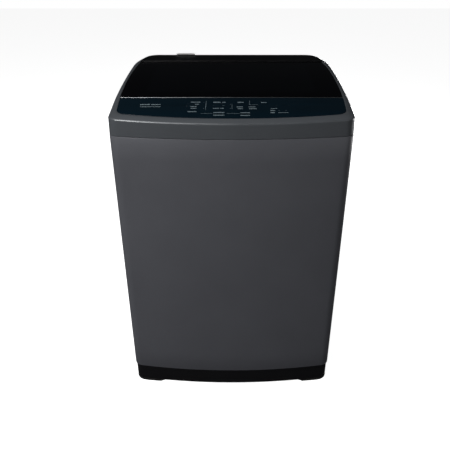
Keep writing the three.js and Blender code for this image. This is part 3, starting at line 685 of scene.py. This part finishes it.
def buildCover():
    base = seamZ + 0.3 * mm
    rings = []
    for inset, rise in ((6.0, 1.0), (1.0, 0.1), (0.35, 0.8)):
        rings.append(atHeight(coverRing(inset * mm, 0.0), base + rise * mm))
    for t in (0.08, 0.3, 0.55, 0.8, 0.95, 1.0):
        ring = coverRing(0.3 * mm + cover["lean"] * t, t)
        rings.append(atHeight(ring, lambda p, t=t: base + (shoulderZ(p.y) - base) * t))
    wall = rings[-1]
    inner = atHeight(pocketRing(1.0 * mm), lambda p: crown(p.y))
    for across, up in cover["shoulder"]:
        rings.append([Vector((*a.xy.lerp(b.xy, across), a.z + (b.z - a.z) * up)) for a, b in zip(wall, inner)])
    rings.append(inner)
    for grow, drop in ((0.35, 0.25), (0.0, 1.0), (0.0, 17.0)):
        rings.append(atHeight(pocketRing(grow * mm), lambda p, drop=drop: crown(p.y) - drop * mm))
    skin = loft("coverSkin", rings, "coverPaint")
    thicken(skin, cover["wall"])
    inletLow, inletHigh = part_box("inlet_connector")
    middle = (inletLow + inletHigh) / 2
    bore = turnedPiece("tool", [(14.2, -30.0), (14.2, 30.0)], (0.0, 0.0), "blackMoulding", 40)
    lying = Matrix.Rotation(math.pi / 2, 4, "X")
    bore.data.transform(Matrix.Translation((middle.x, coverHigh.y, middle.z)) @ lying)
    carve(skin, bore)
    smooth(skin, 34)
    return place(skin, "cabinet", "cover_paint", "top_cover")


buildCover()
print("top cover lofted")


well = {"mouthHalf": 205 * mm, "mouthFront": 154 * mm, "mouthRear": 398 * mm, "corner": 40 * mm,
        "drawerGap": 1.6 * mm,
        "gutterFront": 434 * mm, "gutterDepth": 28 * mm, "gutterWall": 1.5 * mm, "wall": 1.6 * mm}


def roundedRing(lowX, lowY, highX, highY, radius, perSide=20, perCorner=8):
    ring = []
    corners = [(lowX, highY, lowX + radius, highY, lowX, highY - radius),
               (lowX, lowY, lowX, lowY + radius, lowX + radius, lowY),
               (highX, lowY, highX - radius, lowY, highX, lowY + radius),
               (highX, highY, highX, highY - radius, highX - radius, highY)]
    for i, (cx, cy, ax, ay, bx, by) in enumerate(corners):
        start = Vector((ax, ay))
        if ring:
            ring += linePoints(ring[-1], start, perSide)
        else:
            ring.append(start)
        ring += curvePoints(start, Vector((cx, cy)), Vector((bx, by)), perCorner)
    ring += linePoints(ring[-1], ring[0], perSide)[:-1]
    return ring


def buildWell():
    side = half - 20 * mm
    front = frontY + crownLine["breakAt"] + 0.9 * mm
    rear = rearCoverLow.y - 0.4 * mm
    m = well["mouthHalf"]
    mouthLow = frontY + well["mouthFront"]
    mouthHigh = frontY + well["mouthRear"]
    rings = []
    for grow, drop in ((0.0, 3.4), (0.0, 10.0), (0.0, 14.5), (-0.8, 16.4), (-2.6, 17.0)):
        ring = roundedRing(-side, front - grow * mm, side, rear + grow * mm, 5 * mm)
        ring = followSides(ring, side, 0.3 * mm - grow * mm)
        rings.append(atHeight(ring, lambda p, drop=drop: crown(p.y) - drop * mm))
    for grow, drop in ((9.0, 17.0), (3.0, 17.1), (1.0, 17.8), (0.0, 19.5)):
        ring = roundedRing(-m - grow * mm, mouthLow - grow * mm, m + grow * mm, mouthHigh + grow * mm,
                           well["corner"] + grow * mm)
        rings.append(atHeight(ring, lambda p, drop=drop: crown(p.y) - drop * mm))
    lowest = atHeight(roundedRing(-m, mouthLow, m, mouthHigh, well["corner"]), seamZ - 5 * mm)
    top = rings[-1]
    rings += [[a.lerp(b, t) for a, b in zip(top, lowest)] for t in (0.33, 0.66, 1.0)]
    deck = loft("lidWell", rings, "blackMoulding")
    thicken(deck, well["wall"])
    drawerLow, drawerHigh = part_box("drawer_housing")
    opening = well["drawerGap"]
    carve(deck, boxTool((drawerLow.x + opening, mouthHigh - 12 * mm, drawerLow.z + opening),
                        (drawerHigh.x - opening, mouthHigh + 12 * mm, drawerHigh.z - opening)))
    gutterY = frontY + well["gutterFront"]
    gutterZ = crown(hingeAt.y) - well["gutterDepth"]
    side = pocketHalf(hingeAt.y) - 3 * mm
    wall = well["gutterWall"]
    gutterRear = rear - well["wall"] - 0.1 * mm
    carve(deck, boxTool((-side, gutterY, gutterZ), (side, gutterRear, crown(hingeAt.y))))
    gutter = boxTool((-side - wall, gutterY - wall, gutterZ - wall),
                     (side + wall, gutterRear + wall, gutterZ + 9.5 * mm))
    gutter.name = "hingeGutter"
    carve(gutter, boxTool((-side, gutterY, gutterZ), (side, gutterRear, crown(hingeAt.y))))
    bevel(gutter, 0.3 * mm, 2, 50)
    place(smooth(gutter, 30), "cabinet", "black_plastic")
    smooth(deck, 34)
    return place(deck, "cabinet", "black_plastic")


buildWell()
print("lid well made")


def outlineSpline(curve, points):
    spline = curve.splines.new("POLY")
    spline.points.add(len(points) - 1)
    for target, p in zip(spline.points, points):
        target.co = (p[0], p[1], 0.0, 1.0)
    spline.use_cyclic_u = True


# A plate with rounded edges: outlines are filled, and an outline inside another is a hole.
def plate(name, outlines, low, high, edge, material, segments=2):
    curve = bpy.data.curves.new(name, "CURVE")
    curve.dimensions = "2D"
    curve.fill_mode = "BOTH"
    curve.extrude = max((high - low) / 2 - edge, 1e-6)
    curve.bevel_depth = edge
    curve.bevel_resolution = segments
    curve.offset = -edge
    for points in outlines:
        outlineSpline(curve, points)
    holder = bpy.data.objects.new(name + "Outline", curve)
    link(holder)
    bpy.context.view_layer.update()
    mesh = bpy.data.meshes.new_from_object(holder.evaluated_get(bpy.context.evaluated_depsgraph_get()))
    bpy.data.objects.remove(holder)
    bpy.data.curves.remove(curve)
    mesh.name = name
    mesh.transform(Matrix.Translation((0.0, 0.0, (low + high) / 2)))
    return fixNormals(addObject(name, mesh, material), 1e-6)


panel = {"thick": 3.0 * mm, "gap": 0.4 * mm, "corner": 26 * mm, "edge": 0.35 * mm, "keyEdge": 0.45 * mm}
slopeAngle = math.atan(crownLine["slope"])
panelMiddle = Vector((0.0, frontY + 79 * mm, 0.0))
panelMiddle.z = crown(panelMiddle.y)
panelFrame = Matrix.Translation(panelMiddle) @ Matrix.Rotation(slopeAngle, 4, "X")
stretch = math.hypot(1.0, crownLine["slope"])
keyNames = [n for n in nodes if n.startswith("key_")]


def keyRing(node, grow):
    low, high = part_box(node)
    centre = panelFrame.inverted() @ ((low + high) / 2)
    halfX = (high.x - low.x) / 2 - 2.0 * mm + grow
    halfY = 6.5 * mm + grow
    return roundedRing(centre.x - halfX, centre.y - halfY, centre.x + halfX, centre.y + halfY, 3 * mm + grow, 2, 6)


def buildPanel():
    front = frontY + cover["panelFront"] + panel["gap"]
    ring = planRing(half, front, frontY + crownLine["breakAt"], cover["pocketCorner"], 3 * mm)
    ring = followSides(ring, half, panel["gap"])
    outer = [Vector((p.x, (p.y - panelMiddle.y) * stretch)) for p in ring]
    holes = [keyRing(name, panel["gap"]) for name in keyNames]
    sheetPiece = plate("panelFascia", [outer] + holes, -panel["thick"], 0.0, panel["edge"], "panelGloss")
    sheetPiece.data.transform(panelFrame)
    smooth(sheetPiece, 30)
    place(sheetPiece, "cabinet", "panel_gloss", "control_panel")
    for name in keyNames:
        cap = plate(name + "Cap", [keyRing(name, 0.0)], -4.2 * mm, 0.25 * mm, panel["keyEdge"], "panelGloss", 3)
        stem = plate(name + "Stem", [keyRing(name, 1.6 * mm)], -4.8 * mm, -3.6 * mm, 0.2 * mm, "blackMoulding", 1)
        for piece in (cap, stem):
            piece.data.transform(panelFrame)
            smooth(piece, 30)
        stem.data.materials[0] = made["blackMoulding"]
        place(cap, name[4:] + "_key", "panel_gloss", name)
        place(stem, name[4:] + "_key", "black_plastic")


# Rows of printed bars, in millimetres on the panel: from x, to x, distance from the front, height of the bar.
printed = {
    "bars": [
        (-213, -191, 93, 5.5), (-187, -166, 93, 4.6), (-211, -165, 81, 3.0),
        (-96, -73, 107, 3.8), (-96, -76, 95, 3.6), (-95, -81, 82, 3.8), (-94, -81, 72, 3.8), (-100, -80, 54, 4.2),
        (-43, -26, 106, 5.6), (-22, -13, 106, 4.6), (-43, -29, 72, 3.8), (-26, -17, 72, 3.8),
        (-41, -15, 49, 4.6), (-41, -15, 35, 4.6), (20, 41, 48, 4.4), (20, 41, 34, 4.4),
        (14, 28, 106, 4.6), (16, 27, 94, 3.6), (12, 26, 80, 4.0), (14, 26, 70, 4.2),
        (69, 82, 105, 3.8), (39, 55, 80, 3.6), (40, 57, 70, 4.0),
        (90, 104, 71, 2.6), (89, 99, 60, 4.2), (88, 98, 49, 5.0), (106, 128, 49, 2.6),
    ],
    "lines": [(-70, -44, 44), (-11, 19, 44), (-43, -17, 88), (40, 83, 93)],
    "posts": [(-60, 66, 112), (1, 68, 98), (42, 93, 115)],
    "dots": [(-65, 72), (-65, 106), (-3, 72), (-3, 94), (108, 60), (124, 60)],
}


def buildMarks():
    def onPanel(x, back):
        return Vector((x * mm, (frontY + back * mm - panelMiddle.y) * stretch))

    def stroke(x0, back0, x1, back1, radius):
        a, b = onPanel(x0, back0), onPanel(x1, back1)
        return roundedRing(a.x, a.y, b.x, b.y, radius * mm, 1, 2)

    strokes = []
    for x0, x1, back, tall in printed["bars"]:
        cursor = x0
        step = 0
        while cursor < x1 - 0.8:
            width = min(x1 - cursor, (2.6, 4.2, 1.7, 3.4)[step % 4])
            strokes.append(stroke(cursor, back - tall / 2, cursor + width, back + tall / 2, min(0.4, tall / 3)))
            cursor += width + 0.7
            step += 1
    strokes += [stroke(x0, back - 0.35, x1, back + 0.35, 0.2) for x0, x1, back in printed["lines"]]
    strokes += [stroke(x - 0.35, low, x + 0.35, high, 0.2) for x, low, high in printed["posts"]]
    for x, back in printed["dots"]:
        c = onPanel(x, back)
        strokes.append([Vector((c.x + 0.8 * mm * math.cos(a), c.y + 0.8 * mm * math.sin(a)))
                        for a in turnSteps(10)])
    marks = plate("panelMarks", strokes, 0.0, 0.06 * mm, 0.01 * mm, "markInk", 0)
    marks.data.transform(panelFrame)
    place(marks, "cabinet", "panel_gloss")


buildPanel()
buildMarks()
print("panel, keys and marks made:", len(keyNames), "keys")


lid = {"edge": 0.6 * mm, "corner": 6 * mm, "lift": 0.2 * mm, "trimDepth": 8.5, "gap": 1.0 * mm, "rearGap": 1.8 * mm,
       "frameDepth": 13 * mm, "frameTop": 4.5 * mm, "nose": 13 * mm, "windowHalf": 238 * mm}


# Room beside the lid: it grows near the hinge, where the lid swings down into the narrower end of the well.
def lidGap(y):
    share = min(1.0, max(0.0, (y - frontY - 400 * mm) / (34 * mm)))
    return lid["gap"] + lid["rearGap"] * share * share * (3 - 2 * share)


def followLid(ring):
    return [Vector((p.x * (pocketHalf(p.y) - lidGap(p.y)) / half, p.y)) for p in ring]


# Frame under the glass, with a rounded nose round the hinge line.
def buildLidFrame():
    front = glassLow.y
    reach = hingeAt.y - 3 * mm - front
    profile = [(y, crown(y) - lid["frameDepth"]) for y in [front + reach * i / 9 for i in range(10)]]
    profile += [(hingeAt.y - 2 * mm, hingeAt.z - 3 * mm), (hingeAt.y + lid["nose"], hingeAt.z - 3 * mm)]
    profile += [(hingeAt.y + lid["nose"] * math.cos(a), hingeAt.z + lid["nose"] * math.sin(a))
                for a in [math.radians(10 * k) for k in range(9)]]
    profile.append((glassHigh.y + 0.4 * mm, hingeAt.z + lid["nose"] / 2))
    rear = glassHigh.y - 1 * mm
    profile += [(y, crown(y) - lid["frameTop"]) for y in [rear - (rear - front) * i / 9 for i in range(10)]]
    rings = [[Vector((share * (pocketHalf(y) - lidGap(y) - 0.5 * mm), y, z)) for y, z in profile]
             for share in (-1.0, -0.5, 0.0, 0.5, 1.0)]
    frameBody = solidLoft("lidUnderFrame", rings, "blackMoulding")
    hole = roundedRing(-lid["windowHalf"], front + 26 * mm, lid["windowHalf"], glassHigh.y - 34 * mm, 20 * mm)
    tools = [solidLoft("tool", [atHeight(hole, seamZ), atHeight(hole, seamZ + 120 * mm)], "blackMoulding")]
    for side in (-1, 1):
        low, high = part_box("hinge_pin_left" if side < 0 else "hinge_pin_right")
        bore = turnedPiece("tool", [(3.3, -20.0), (3.3, 20.0)], (0.0, 0.0), "blackMoulding", 24)
        bore.data.transform(Matrix.Translation((low + high) / 2) @ Matrix.Rotation(math.pi / 2, 4, "Y"))
        tools.append(bore)
    carve(frameBody, *tools)
    bevel(frameBody, 0.4 * mm, 2, 50)
    smooth(frameBody, 30)
    return place(frameBody, "lid", "black_plastic", "lid_frame")


def crownedSlab(name, lowX, lowY, highX, highY, radius, top, thick, edge, material, shape):
    rings = []
    for grow, drop in ((-0.5 * edge, thick), (0.0, thick - edge * 0.6), (0.0, edge), (-0.3 * edge, 0.3 * edge),
                       (-edge, 0.0)):
        ring = shape(roundedRing(lowX - grow, lowY - grow, highX + grow, highY + grow, radius + grow))
        rings.append(atHeight(ring, lambda p, drop=drop: crown(p.y) - top - drop))
    middle = (lowY + highY) / 2
    for share in (0.06, 0.2, 0.4, 0.65, 0.9):
        keepX = 1.0 - share * 0.72
        keepY = 1.0 - share
        ring = [Vector((p.x * keepX, middle + (p.y - middle) * keepY)) for p in rings[4]]
        rings.append(atHeight(ring, lambda p: crown(p.y) - top))
    under = [[Vector((p.x, p.y, p.z - thick)) for p in ring] for ring in rings[5:]]
    slab = loft(name, list(reversed(under)) + rings, material, capped=True)
    return smooth(slab, 34)


def buildLid():
    front = frontY + crownLine["breakAt"] + 4.0 * mm
    glass = crownedSlab("lidPane", -half, front, half, glassHigh.y - 0.6 * mm, lid["corner"], lid["lift"],
                        4.0 * mm, lid["edge"], "lidGlass", followLid)
    place(glass, "lid", "lid_glass", "lid_glass")
    low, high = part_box("lid_trim")
    side = pocketHalf(high.y) - 1.2 * mm
    profile = [(0.0, -lid["trimDepth"]), (0.0, -0.5), (0.3, -0.1), (0.8, 0.15), (1.6, 0.15), (2.1, -0.1),
               (2.4, -0.6), (2.4, -lid["trimDepth"])]
    depth = high.y - low.y
    rings = []
    for x, drop in ((-side, 0.5), (-side + 0.8 * mm, 0.0), (0.0, 0.0), (side - 0.8 * mm, 0.0), (side, 0.5)):
        ring = []
        for across, up in profile:
            y = low.y + depth * across / 2.4
            rise = up * mm - drop * mm if up > -1 else up * mm
            ring.append(Vector((x, y, crown(y) + rise)))
        rings.append(ring)
    trim = smooth(solidLoft("lidTrimStrip", rings, "trimMetal"), 50)
    place(trim, "lid", "lid_trim", "lid_trim")
    buildLidFrame()


buildLid()
print("lid made")


# Outline of the rear cover: straight front edge, then the pocket's own sides and rounded rear corners.
def rearCoverRing(grow):
    start = rearCoverLow.y - min(grow, 0.0)
    inside = [p for p in pocketRing(grow) if p.y > start]
    left = [p for p in inside if p.x < 0]
    right = [p for p in inside if p.x >= 0]
    left.sort(key=lambda p: math.atan2(p.y - start, p.x), reverse=True)
    right.sort(key=lambda p: math.atan2(p.y - start, p.x))
    side = pocketHalf(start) + grow
    corner = Vector((-side, start))
    return linePoints(corner, Vector((side, start)), 24) + right + left[::-1] + [corner]


def buildRearCover():
    grows = ((-0.4, -3.2), (-0.4, -1.2), (1.4, -0.6), (1.4, -0.1), (1.0, 0.25), (0.2, 0.4))
    rings = [atHeight(rearCoverRing(grow * mm), lambda p, up=up: crown(p.y) + up * mm) for grow, up in grows]
    centre = (rearCoverLow.y + rearCoverHigh.y) / 2
    for share in (0.1, 0.4, 0.8):
        ring = [Vector((p.x * (1 - share * 0.2), centre + (p.y - centre) * (1 - share))) for p in rings[-1]]
        rings.append(atHeight(ring, lambda p: crown(p.y) + 0.4 * mm))
    cap = smooth(solidLoft("hingeCover", rings, "blackMoulding"), 34)
    return place(cap, "cabinet", "black_plastic", "rear_cover")


# Raised bead along the front edge of the rear cover, seen as a fine line behind the lid. The bead's shape catches
# the lamps, and its colour is greyer than the black cover it belongs to: painted highlight for that line of light.
def buildSeamLip():
    start = rearCoverLow.y
    side = pocketHalf(start) - 3 * mm
    section = [(0.2, 0.35), (0.4, 0.8), (0.9, 1.05), (1.5, 1.05), (2.0, 0.8), (2.2, 0.35)]
    rings = []
    for i in range(9):
        x = -side + 2 * side * i / 8
        rings.append([Vector((x, start + b * mm, crown(start + b * mm) + up * mm)) for b, up in section])
    lip = smooth(solidLoft("rearCoverLip", rings, "seamLipPaintedHighlight"), 60)
    return place(lip, "cabinet", "black_plastic")


buildRearCover()
buildSeamLip()
print("rear cover made")


hanger = {"lowX": -170.0, "highX": -113.0, "foot": 40.0}


# Bent strip behind the cover with a lip over its rear edge, where the drain hose is hooked up.
def buildHanger():
    path = [(571.6, hanger["foot"]), (571.6, 71.0), (571.2, 75.0), (569.0, 77.6), (565.0, 78.4), (559.0, 78.0)]
    outward = [(2.4, 0.0), (2.4, 0.0), (2.4, 0.9), (1.4, 2.0), (0.0, 2.4), (0.0, 2.4)]
    rings = []
    span = hanger["highX"] - hanger["lowX"]
    for i in range(9):
        x = hanger["lowX"] + span * i / 8
        drop = (1.6, 0.4, 0.0, 0.0, 0.0)[min(i, 8 - i)]
        inner = [(b - (drop if k > 3 else 0.0), h - (drop * 0.4 if k > 2 else 0.0))
                 for k, (b, h) in enumerate(path)]
        outer = [(b + move[0], h + move[1]) for (b, h), move in zip(inner, outward)]
        rings.append([Vector((x * mm, frontY + b * mm, seamZ + h * mm)) for b, h in inner[::-1] + outer])
    strip = smooth(solidLoft("hoseHangerStrip", rings, "paleMoulding"), 45)
    bevel(strip, 0.4 * mm, 2, 50)
    return place(strip, "cabinet", "grey_plastic", "hose_hanger")


buildHanger()
print("hanger made")


basket = {"radius": 219.0, "bottom": 240.0, "top": 655.0, "columns": 56, "rows": 17, "holesLow": 285.0,
          "holesHigh": 640.0, "hole": 3.1, "wall": 1.2}


# Drum rolled from perforated sheet: every hole is a real opening, in rows that are offset by half a pitch.
def buildBasket():
    radius, columns = basket["radius"], basket["columns"]
    verts, faces = [], []

    def at(angle, z, r=radius):
        verts.append((r * math.cos(angle) * mm, r * math.sin(angle) * mm, z * mm))
        return len(verts) - 1

    pitch = math.tau / columns
    tall = (basket["holesHigh"] - basket["holesLow"]) / basket["rows"]
    for row in range(basket["rows"]):
        z = basket["holesLow"] + tall * (row + 0.5)
        for column in range(columns):
            angle = pitch * (column + 0.5 * (row % 2))
            edge, hole = [], []
            for k in range(8):
                a = math.tau * k / 8
                across, up = round(math.cos(a), 3), round(math.sin(a), 3)
                grow = max(abs(across), abs(up))
                edge.append(at(angle + pitch / 2 * across / grow, z + tall / 2 * up / grow))
                hole.append(at(angle + basket["hole"] * across / radius, z + basket["hole"] * up))
            for k in range(8):
                n = (k + 1) % 8
                faces.append((edge[k], edge[n], hole[n], hole[k]))
    bands = [(basket["holesHigh"], radius), (basket["top"] - 6, radius), (basket["top"], radius)]
    curve = [(basket["bottom"] + 14 * (1 - math.cos(a)), radius - 14 * (1 - math.sin(a)))
             for a in [math.pi / 2 * k / 5 for k in range(5, -1, -1)]]
    floor = [(basket["holesLow"], radius)] + curve + [(basket["bottom"], r) for r in (170.0, 120.0, 70.0, 26.0)]
    for rows in (bands, floor):
        rings = [[at(pitch / 2 * k, z, r) for k in range(columns * 2)] for z, r in rows]
        for low, high in zip(rings, rings[1:]):
            for k in range(columns * 2):
                n = (k + 1) % (columns * 2)
                faces.append((low[k], low[n], high[n], high[k]))
    mesh = bpy.data.meshes.new("drumSheet")
    mesh.from_pydata(verts, [], faces)
    drum = fixNormals(addObject("drumSheet", mesh, "drumSteel"), 5e-6)
    thicken(drum, basket["wall"] * mm)
    smooth(drum, 40)
    return place(drum, "basket", "basket_steel", "basket")


buildBasket()
print("drum perforated")


pulsator = {"radius": 167.0, "low": 248.0, "vanes": 6, "vaneHeight": 15.0, "swirl": 0.55, "dome": 26.0}


def pulsatorTop(r, angle):
    share = r / pulsator["radius"]
    dome = 10.0 + 6.0 * (1 - share) + pulsator["dome"] * math.exp(-((r / 42.0) ** 2))
    wave = math.cos(pulsator["vanes"] * (angle - pulsator["swirl"] * share) / 2) ** 2
    rise = min(1.0, max(0.0, (r - 26.0) / 30.0)) * min(1.0, max(0.0, (160.0 - r) / 26.0))
    return min(pulsator["low"] + dome + pulsator["vaneHeight"] * rise * wave ** 5, 288.8)


def buildPulsator():
    radii = [1.5, 8, 16, 24, 32, 42, 54, 68, 84, 100, 116, 130, 142, 150, 156, 161, 164]
    turns = turnSteps(120)
    low = pulsator["low"]
    rings = [ringAt(r, lambda angle, r=r: pulsatorTop(r, angle), turns) for r in radii]
    under = [(166.2, 9.2), (167.0, 7.6), (166.4, 5.6), (150.0, 0.4), (60.0, 0.2), (8.5, 0.2), (8.5, 15.0)]
    rings += [ringAt(r, low + up, turns) for r, up in under]
    disc = smooth(solidLoft("pulsatorDisc", rings, "pulsatorMoulding"), 50)
    return place(disc, "pulsator", "pulsator_plastic", "pulsator")


buildPulsator()
print("pulsator shaped")


spring = {"coil": 13.0, "wire": 1.9, "turns": 7.0, "closed": 1.1}


# Compression spring with closed ends; it runs from the rod's foot up to the tub's lug.
def buildSpring(node):
    low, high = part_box(node)
    centre = (low + high) / 2
    steps = 22
    total = int((spring["turns"] + 2 * spring["closed"]) * steps)
    wire = spring["wire"] * mm
    bottom, top = low.z + wire, high.z - wire
    rings = []
    for i in range(total + 1):
        turn = i / steps
        rise = (turn - spring["closed"] * 0.7) / (spring["turns"] + spring["closed"] * 0.6)
        a = turn * math.tau
        z = bottom + (top - bottom) * min(max(rise, 0.0), 1.0)
        out = Vector((math.cos(a), math.sin(a), 0.0))
        at = Vector((centre.x, centre.y, z)) + out * spring["coil"] * mm
        rings.append([at + out * wire * math.cos(b) + Vector((0, 0, wire * math.sin(b))) for b in turnSteps(8)])
    coil = smooth(solidLoft(node + "_coil", rings, "plainSteel"), 60)
    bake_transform(coil)
    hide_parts(node)


for node in [n for n in nodes if n.startswith("suspension_spring_")]:
    buildSpring(node)
print("springs coiled")


rearSheet = {
    "beads": [(-238, 380, -222, 720), (-140, 392, -124, 720), (-24, 392, -8, 720), (92, 392, 108, 720),
              (206, 170, 222, 720), (-238, 90, -222, 350)],
    "raise": 2.2,
    "screws": [(-256, 90), (-256, 300), (-256, 520), (-256, 728), (256, 90), (256, 300), (256, 520), (256, 728),
               (-90, 738), (90, 738), (-90, 70), (90, 70)],
    "coverScrews": [(-126, 120), (126, 120), (-126, 320), (126, 320)],
}


# Pan head screw with a cross recess, turned to face the rear.
def screwHead(name, x, y, z, radius=4.0):
    steps = turnSteps(24)
    rings = [[(radius * share * math.cos(a), radius * share * math.sin(a), up) for a in steps]
             for share, up in ((1.0, 0.0), (1.0, 0.7), (0.86, 1.5), (0.62, 1.95))]
    for up in (2.0, 0.9):
        reach = [radius * (0.5 if k % 6 == 0 else 0.14) for k in range(24)]
        rings.append([(r * math.cos(a), r * math.sin(a), up) for r, a in zip(reach, steps)])
    rings = [[Vector((x + px, y + up, z + pz)) * mm for px, pz, up in ring] for ring in rings]
    return place(smooth(solidLoft(name, rings, "plainSteel"), 40), "cabinet", "rod_steel")


def buildRearSheet():
    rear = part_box("rear_panel")[1].y
    outlines = [roundedRing(x0 * mm, z0 * mm, x1 * mm, z1 * mm, 7.8 * mm, 10, 8)
                for x0, z0, x1, z1 in rearSheet["beads"]]
    beads = plate("rearBeads", outlines, -rearSheet["raise"] * mm, 0.3 * mm, 1.1 * mm, "zincSheet", 4)
    beads.data.transform(Matrix.Translation((0.0, rear, 0.0)) @ Matrix.Rotation(math.pi / 2, 4, "X"))
    smooth(beads, 60)
    place(beads, "cabinet", "zinc_steel")
    for i, (x, z) in enumerate(rearSheet["screws"]):
        screwHead("rearScrew" + str(i + 1), x, rear / mm, z)
    for i, (x, z) in enumerate(rearSheet["coverScrews"]):
        screwHead("accessScrew" + str(i + 1), x, rear / mm + 3.2, z, 3.6)


buildRearSheet()
print("rear sheet detailed")


slotFinish = {
    "cabinet_paint": "cabinetPaint", "cover_paint": "coverPaint", "base_plastic": "baseMoulding",
    "foot_rubber": "footRubber", "panel_gloss": "panelGloss", "lid_glass": "lidGlass", "lid_trim": "trimMetal",
    "black_plastic": "blackMoulding", "grey_plastic": "greyMoulding", "white_plastic": "whiteMoulding",
    "tub_plastic": "tubMoulding", "ring_plastic": "ringMoulding", "pulsator_plastic": "pulsatorMoulding",
    "zinc_steel": "zincSheet", "rod_steel": "plainSteel", "basket_steel": "drumSteel",
    "drive_aluminium": "castAluminium", "motor_case": "motorCase", "belt_rubber": "beltRubber",
    "circuit_board": "circuitBoard",
}
# Width of the rounded edge in millimetres, and the nodes that have it; the others have 0.4.
softEdge = {
    0.2: "control_board",
    0.3: "inlet_connector",
    0.5: "foot_rear_left foot_rear_right drain_spigot",
    0.6: "motor_pulley drive_plate",
    0.8: "drawer_housing detergent_drawer lid_switch tub_ring rear_access_cover drive_pulley",
    1.0: "inlet_valve outer_tub spin_hub lint_filter",
    1.5: "motor drive_housing drain_valve",
    2.0: "balance_ring",
}
edgeWidths = {name: width for width, names in softEdge.items() for name in names.split()}


def dressNodes():
    slotOf = {row["node"]: row["material_slot"] for row in frame["record"]["subparts"]}
    for name, obj in nodes.items():
        material = made[slotFinish[slotOf[name]]]
        obj.data.materials.clear()
        obj.data.materials.append(material)
        if obj.hide_render:
            continue
        for face in obj.data.polygons:
            face.use_smooth = True
        split = obj.modifiers.new("soft", "BEVEL")
        split.width = edgeWidths.get(name, 0.4) * mm
        split.segments = 2
        split.limit_method = "ANGLE"
        split.angle_limit = math.radians(34)
        split.use_clamp_overlap = True
        normals = obj.modifiers.new("normals", "WEIGHTED_NORMAL")
        normals.keep_sharp = True


dressNodes()
print("CAD nodes dressed")
